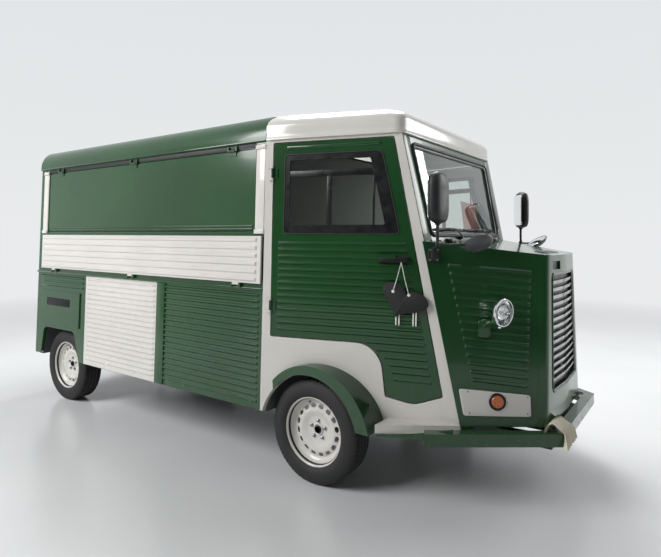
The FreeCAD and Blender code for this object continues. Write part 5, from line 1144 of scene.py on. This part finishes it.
def padMesh(name, low, high):
    # A closed pad with rounded edges, a little smaller than its room, then swelled.
    bm = bmesh.new()
    bmesh.ops.create_cube(bm, size=1.0)
    for vert in bm.verts:
        vert.co = Vector([(low[i] + high[i]) / 2 + vert.co[i] * (high[i] - low[i] - 2 * seat["shrink"])
                          for i in range(3)]) / 1000
    bmesh.ops.bevel(bm, geom=list(bm.edges), offset=seat["edge"] / 1000, segments=seat["edgeSteps"],
                    affect="EDGES")
    mesh = bpy.data.meshes.new(name)
    bm.to_mesh(mesh)
    bm.free()
    made = newObject(name, mesh)
    remesh = made.modifiers.new("remesh", "REMESH")
    remesh.mode = "VOXEL"
    remesh.voxel_size = seat["voxel"] / 1000
    applyModifiers(made)
    start = [v.co.copy() for v in made.data.vertices]
    cloth = made.modifiers.new("cloth", "CLOTH")
    cloth.settings.use_pressure = True
    cloth.settings.uniform_pressure_force = seat["pressure"]
    cloth.settings.effector_weights.gravity = 0.0
    cloth.settings.quality = seat["quality"]
    cloth.point_cache.frame_start = 1
    cloth.point_cache.frame_end = seat["frames"]
    for step in range(1, seat["frames"] + 1):
        bpy.context.scene.frame_set(step)
    applyModifiers(made)
    for vert, place in zip(made.data.vertices, start):
        moved = vert.co - place
        if moved.length > seat["cap"] / 1000:
            vert.co = place + moved.normalized() * seat["cap"] / 1000
    bpy.context.scene.frame_set(1)
    made.modifiers.new("smooth", "SUBSURF").levels = 1
    applyModifiers(made)
    return made


def sewChannels(made, axis, along):
    # Sewn channels pull the cloth in along straight lines across the pad.
    pitch, deep, wide, reach = (seat["channel" + key] / 1000 for key in ("Pitch", "Depth", "Width", "Reach"))
    centre = sum((v.co[along] for v in made.data.vertices)) / len(made.data.vertices)
    front = max(v.co[axis] for v in made.data.vertices)
    for vert in made.data.vertices:
        away = (vert.co[along] - centre + pitch / 2) % pitch - pitch / 2
        if front - vert.co[axis] < reach:
            vert.co[axis] -= deep * math.exp(-(away / wide) ** 2)


def makePads():
    half, rear, low = seat["width"] / 2, truck["axleX"] + seat["rear"], seat["low"]
    pads = {"seatCushion": ((rear, -half, low), (rear + seat["length"], half, low + seat["tall"]), 2, 1),
            "seatBack": ((rear - seat["backDeep"], -half, low), (rear, half, low + seat["backTall"]), 0, 1)}
    for name, (lowest, highest, axis, along) in pads.items():
        first = padMesh(name + "_right", lowest, highest)
        sewChannels(first, axis, along)
        first.data.materials.append(seatCloth)
        first.data.shade_smooth()
        for side in (right, left):
            # The left pad is a copy of the right one, two places over.
            made = first if side == right else newObject(name + "_left", first.data.copy())
            shift = seat["centre"] * (right if side == right else 2) / 1000
            made.data.transform(Matrix.Translation((0.0, shift, 0.0)))
            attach(made, "truck_body")
            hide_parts("seats")


def makeSeatBases():
    half, rear, low = seat["width"] / 2, seat["rear"], seat["low"]
    front, back = rear + seat["length"], rear - seat["backDeep"] + seat["tubeBack"]
    wide = half - seat["panSide"]
    foot = rounded(bar(rear + seat["footRear"], front - seat["footFront"], -half / 2, half / 2),
                   seat["footRound"])
    pan = rounded(bar(rear + seat["panRear"], front - seat["panFront"], -wide, wide), seat["panRound"])
    panLow, panHigh, panEdge = seat["panOut"]
    bm = bmesh.new()
    for side in (right, left):
        def ground(x, y, out=0.0):
            return Vector((truck["axleX"] + x, side * seat["centre"] + y, out)) / 1000

        addPlate(bm, ground, foot, seat["floor"], low - seat["footTop"], seat["footEdge"])
        addPlate(bm, ground, pan, low + panLow, low + panHigh, panEdge)
        for edge in (seat["tubeSide"] - half, half - seat["tubeSide"]):
            route = [ground(rear + x, edge, low + z) for x, z in seat["tube"]]
            route += [ground(back, edge, low + seat["tubeEnds"]),
                      ground(back, edge, low + seat["backTall"] - seat["tubeEnds"])]
            addTube(bm, smoothPath(route), seat["tubeRadius"])
    newPiece("seatBases", bm, (chassisBlack,), replaced=("seats",))


makePads()
makeSeatBases()
print("seats made")


# Covers: green corner plates by the windscreen, a black strip of painted shade above the hatch and the sill's
# green valance

covers = {"corners": (1488, 2130), "cornerGap": 1, "cornerOut": (0.5, 3, 1),
          "shadeStrip": (-3120, -456, 2100, 2129), "shadeStripOut": (0.5, 3.0, 1), "sillRear": 458, "sillFront": 846,
          "sillLow": 396, "sillTall": 14, "sillRise": 60, "sillPower": 1.6, "sillSteps": 8,
          "sillOut": (0.5, 3.5, 1), "stepHalf": 966, "stepX": 452, "stepTaper": 0.427}


def cornerSpan(z):
    # From the windscreen's frame out to the cab's side, at one height.
    share = (z - screen["low"]) / (screen["high"] - screen["low"])
    outer = truck["groundHalf"] - truck["sideLean"] * z - truck["cabTaper"] * (screenX(z) - truck["cabRear"])
    inner = screen["lowHalf"] + (screen["topHalf"] - screen["lowHalf"]) * share + screen["outer"]
    return inner, outer - covers["cornerGap"]


def makeCovers():
    bm, valance = bmesh.new(), bmesh.new()
    low, high = covers["corners"]
    rear, length, foot = covers["sillRear"], covers["sillFront"] - covers["sillRear"], covers["sillLow"]
    rise = []
    for k in range(covers["sillSteps"] + 1):
        share = k / covers["sillSteps"]
        rise.append((rear + length * share,
                     foot + covers["sillTall"] + covers["sillRise"] * share ** covers["sillPower"]))
    for side in (right, left):
        def stepFace(x, z, out=0.0):
            half = covers["stepHalf"] - covers["stepTaper"] * (x - covers["stepX"])
            return Vector((truck["axleX"] + x, side * (half + out), z)) / 1000

        (innerLow, outerLow), (innerHigh, outerHigh) = cornerSpan(low), cornerSpan(high)
        outline = [(innerLow, low), (outerLow, low), (outerHigh, high), (innerHigh, high)]
        addPlate(bm, screenPlace, [(side * y, z) for y, z in outline], *covers["cornerOut"])
        addPlate(valance, stepFace, [(rear, foot), (rear + length, foot)] + rise[::-1], *covers["sillOut"])
    newPiece("screenCorners", bm, (greenEnamel,))
    # A black rubber strip along the hatch's head stands for the shade under the roof's edge: painted shade.
    shadeStrip = bmesh.new()
    addPlate(shadeStrip, boxSide(right), bar(*covers["shadeStrip"]), *covers["shadeStripOut"])
    newPiece("hatchShadeStrip", shadeStrip, (gasketRubber,))
    newPiece("sillValances", valance, (greenEnamel,))


makeCovers()
print("covers made")


# Things carried on the truck: a blank red card, a blank heart-shaped slate on wires, and a rag on the bumper

redCard = grainyPlastic("red card", "#b85a58", 1.2, 0.00004, 0.6)
slate = grainyPlastic("black slate board", "#1a1a1b", 1.4, 0.0001, 0.62)
whiteCord = grainyPlastic("white coated wire", "#e2e0da", 1.0, 0.00003, 0.4)
ragCloth = wovenCloth("cream cotton rag", "#d9d3c1", "#c4bca6", 4.0)

heart = {"x": 528, "z": 1146, "half": 138, "tilt": 24, "squat": 0.74, "steps": 72, "out": 20, "thick": 9,
         "edge": 2, "curveHalf": 16, "waves": ((1, 13), (2, -5), (3, -2), (4, -1)), "hook": (516, 1366, 40),
         "sag": 6, "sagOut": 37, "holes": ((470, 1196), (560, 1178)), "wireOut": 12, "wireRadius": 2.2,
         "knotOut": 8, "knot": ((9, 0), (9, 2), (6, 4), (0, 4.5)), "knotSteps": 16,
         "tubes": (486, 504, 584, 600), "tubeOut": -4, "tubeEnds": (1000, 1100), "tubeRadius": 4.2}


def makeHeart():
    bm = bmesh.new()
    wall, out, tilt = cabSide(right), heart["out"], math.radians(heart["tilt"])
    size = heart["half"] / heart["curveHalf"]
    outline = []
    for k in range(heart["steps"]):
        t = math.tau * k / heart["steps"]
        across = size * heart["curveHalf"] * math.sin(t) ** 3
        up = size * heart["squat"] * sum(tall * math.cos(times * t) for times, tall in heart["waves"])
        outline.append((heart["x"] + across * math.cos(tilt) + up * math.sin(tilt),
                        heart["z"] + up * math.cos(tilt) - across * math.sin(tilt)))
    addPlate(bm, wall, outline, out, out + heart["thick"], heart["edge"])
    hookX, hookZ, hookOut = heart["hook"]
    for x, z in heart["holes"]:
        wire = [wall(hookX, hookZ, hookOut),
                wall((x + hookX) / 2, (z + hookZ) / 2 - heart["sag"], heart["sagOut"]),
                wall(x, z, out + heart["wireOut"])]
        addTube(bm, smoothPath(wire), heart["wireRadius"], 8, paint=1)
        addLathe(bm, wall(x, z, out + heart["knotOut"]), outwards(wall), heart["knot"], heart["knotSteps"], 1)
    for x in heart["tubes"]:
        addTube(bm, [wall(x, z, out + heart["tubeOut"]) for z in heart["tubeEnds"]], heart["tubeRadius"],
                paint=1)
    newPiece("heartSlate", bm, (slate, whiteCord), "door_right")


rag = {"steps": 44, "along": 250, "middle": -392, "fold": 12, "folds": 6, "top": 452, "front": 1338,
       "flat": 0.28,
       "route": ((-96, -52), (-84, -12), (-74, 26), (-52, 44), (-26, 30), (-6, 12), (6, -6), (9, -40),
                 (6, -74)), "routeSteps": 5, "lag": 2.2, "pinch": 0.28, "stray": 7, "strayTurns": (3.1, 5),
       "foldShares": (0.25, 0.9), "lift": 0.8}


def ragRow(line, share):
    # One thread across the beam: it gathers in the middle and opens into folds at its ends.
    row = []
    for k, place in enumerate(line):
        hang = abs(k / (len(line) - 1) - 0.5) * 2
        wave = math.sin(share * rag["folds"] * math.tau + rag["lag"] * hang)
        gathered = 1 - rag["pinch"] * (1 - hang)
        y = rag["middle"] + (share - 0.5) * rag["along"] * gathered
        y += rag["stray"] * math.sin(rag["strayTurns"][0] * hang + rag["strayTurns"][1] * share)
        fold = rag["fold"] * (rag["foldShares"][0] + rag["foldShares"][1] * hang) * (wave + 1)
        outward = -1 if k < len(line) / 2 else 1
        row.append(Vector((truck["axleX"] + rag["front"] + place.x + outward * fold * hang, y,
                           rag["top"] + place.y + fold * (1 - hang) * rag["lift"])) / 1000)
    return row


def makeRag():
    bm = bmesh.new()
    line = smoothPath([Vector(p) for p in rag["route"]], rag["routeSteps"])
    grid = [[bm.verts.new(p) for p in ragRow(line, i / rag["steps"])] for i in range(rag["steps"] + 1)]
    for first, second in zip(grid, grid[1:]):
        for k in range(len(line) - 1):
            bm.faces.new((first[k], second[k], second[k + 1], first[k + 1]))
    area = sum(face.calc_area() for face in bm.faces)
    made = newPiece("bumperRag", bm, (ragCloth,), angle=180)


card = {"corners": ((-31, 1568), (240, 1563), (274, 1756), (9, 1772)), "round": 3, "out": (-18, -16.5, 0.4)}


def makeCard():
    bm = bmesh.new()
    addPlate(bm, screenPlace, rounded(card["corners"], card["round"], 2), *card["out"])
    newPiece("blankCard", bm, (redCard,))


makeHeart()
makeRag()
makeCard()
print("carried things made")


# Studio: a pale glossy floor that fades into the backdrop, soft lamps and the camera

studio = {"floorHalf": 14.0, "floorColours": ("#e4e5e6", "#dadcde"), "floorRoughness": 0.22,
          "floorMm": 1500, "blendFrom": 4.5, "blendTo": 11.0, "skyLow": "#e9ebec", "skyHigh": "#dfe3e5",
          "skyTop": 0.5, "room": "#35383a", "roomAim": (0.5, -0.87), "roomFrom": 0.05, "roomFull": 0.75,
          "roomTop": 0.6, "roomLow": 0.15, "fill": 0.13, "lampAim": (0.0, 0.0, 1.0), "shownPower": 20}
lamps = {"keyLamp": ((-3.0, -6.5, 5.2), 4.0, 560), "topLamp": ((-1.0, 2.4, 6.5), 3.6, 520),
         "rimLamp": ((5.5, 5.0, 4.0), 4.0, 260), "cabLamp": ((1.0, 0.0, 2.06), 0.9, 6)}


def seenShare(tree, path):
    # One on the rays that see the backdrop: the camera's, a reflection's or through glass.
    bounced = addNode(tree, "Math", {0: path["Is Glossy Ray"], 1: path["Is Transmission Ray"]},
                      operation="MAXIMUM")[0]
    return addNode(tree, "Math", {0: path["Is Camera Ray"], 1: bounced}, operation="MAXIMUM")[0]


def makeFloor():
    made, tree, place = startMaterial("studio floor")
    pale, grey = studio["floorColours"]
    share = patches(tree, place, studio["floorMm"])
    tone = addNode(tree, "Mix", {0: share, 6: pale, 7: grey}, data_type="RGBA")[2]
    shader = addNode(tree, "BsdfPrincipled", {"Roughness": studio["floorRoughness"],
                                              "Base Color": tone})["BSDF"]
    # Far out the floor turns into the backdrop's own colour, so no edge shows.
    distance = addNode(tree, "VectorMath", {0: place}, operation="LENGTH")["Value"]
    far = addNode(tree, "MapRange", {0: distance, 1: studio["blendFrom"], 2: studio["blendTo"]})[0]
    backdrop = addNode(tree, "Emission", {"Color": studio["skyLow"], "Strength": 1.0})[0]
    seen = seenShare(tree, addNode(tree, "LightPath"))
    share = addNode(tree, "Math", {0: far, 1: seen}, operation="MULTIPLY")[0]
    addNode(tree, "OutputMaterial", {0: addNode(tree, "MixShader", {0: share, 1: shader, 2: backdrop})[0]})
    half = studio["floorHalf"]
    mesh = bpy.data.meshes.new("studioFloor")
    places = [(x, y, 0) for x, y in bar(-half, half, -half, half)]
    mesh.from_pydata(places, [], [(0, 1, 2, 3)])
    mesh.materials.append(made)
    newObject("studioFloor", mesh)


def makeWorld():
    world = bpy.data.worlds.new("studio")
    world.use_nodes = True
    bpy.context.scene.world = world
    tree = world.node_tree
    tree.nodes.clear()
    path = addNode(tree, "LightPath")
    axes = addNode(tree, "SeparateXYZ", {0: addNode(tree, "TexCoord")["Generated"]})
    height = addNode(tree, "MapRange", {0: axes["Z"], 2: studio["skyTop"]})[0]
    sky = addNode(tree, "Mix", {0: height, 6: studio["skyLow"], 7: studio["skyHigh"]},
                  data_type="RGBA")[2]
    # The backdrop is pale; behind the camera the room is darker, as the paint's reflections show.
    across, along = (addNode(tree, "Math", {0: axes[axis], 1: share}, operation="MULTIPLY")[0]
                     for axis, share in zip("XY", studio["roomAim"]))
    towards = addNode(tree, "Math", {0: across, 1: along}, operation="ADD")[0]
    behind = addNode(tree, "MapRange", {0: towards, 1: studio["roomFrom"], 2: studio["roomFull"]})[0]
    lowDown = addNode(tree, "MapRange", {0: axes["Z"], 1: studio["roomTop"], 2: studio["roomLow"]})[0]
    room = addNode(tree, "Math", {0: behind, 1: lowDown}, operation="MULTIPLY")[0]
    room = addNode(tree, "Math", {0: room, 1: path["Is Glossy Ray"]}, operation="MULTIPLY")[0]
    shown = addNode(tree, "Mix", {0: room, 6: sky, 7: studio["room"]}, data_type="RGBA")[2]
    seen = addNode(tree, "Background", {"Color": shown, "Strength": 1.0})[0]
    lit = addNode(tree, "Background", {"Color": "#ffffff", "Strength": studio["fill"]})[0]
    both = addNode(tree, "MixShader", {0: seenShare(tree, path), 1: lit, 2: seen})[0]
    addNode(tree, "OutputWorld", {"Surface": both})


def addLamp(name, place, size, power):
    data = bpy.data.lights.new(name, "AREA")
    data.size = size
    data.energy = power
    lamp = newObject(name, data)
    lamp.location = place
    lamp.visible_camera = lamp.visible_transmission = lamp.visible_glossy = power > studio["shownPower"]
    lamp.rotation_mode = "QUATERNION"
    lamp.rotation_quaternion = (Vector(studio["lampAim"]) - Vector(place)).to_track_quat("-Z", "Y")


view = {"place": (2.9645, -3.556, 1.515), "yaw": 35.44, "pitch": 0.70, "roll": -0.33, "lens": 28.99,
        "shiftY": -0.0734}


def makeCamera():
    data = bpy.data.cameras.new("camera")
    data.lens = view["lens"]
    data.shift_y = view["shiftY"]
    yaw, pitch = math.radians(view["yaw"]), math.radians(view["pitch"])
    ahead = Vector((-math.sin(yaw) * math.cos(pitch), math.cos(yaw) * math.cos(pitch), math.sin(pitch)))
    camera = newObject("camera", data)
    camera.location = view["place"]
    camera.rotation_mode = "QUATERNION"
    roll = Matrix.Rotation(math.radians(view["roll"]), 4, ahead).to_quaternion()
    camera.rotation_quaternion = roll @ ahead.to_track_quat("-Z", "Y")
    bpy.context.scene.camera = camera
    bpy.context.scene.view_settings.view_transform = "Standard"


makeFloor()
makeWorld()
for name, settings in lamps.items():
    addLamp(name, *settings)
makeCamera()
print("studio and camera ready")
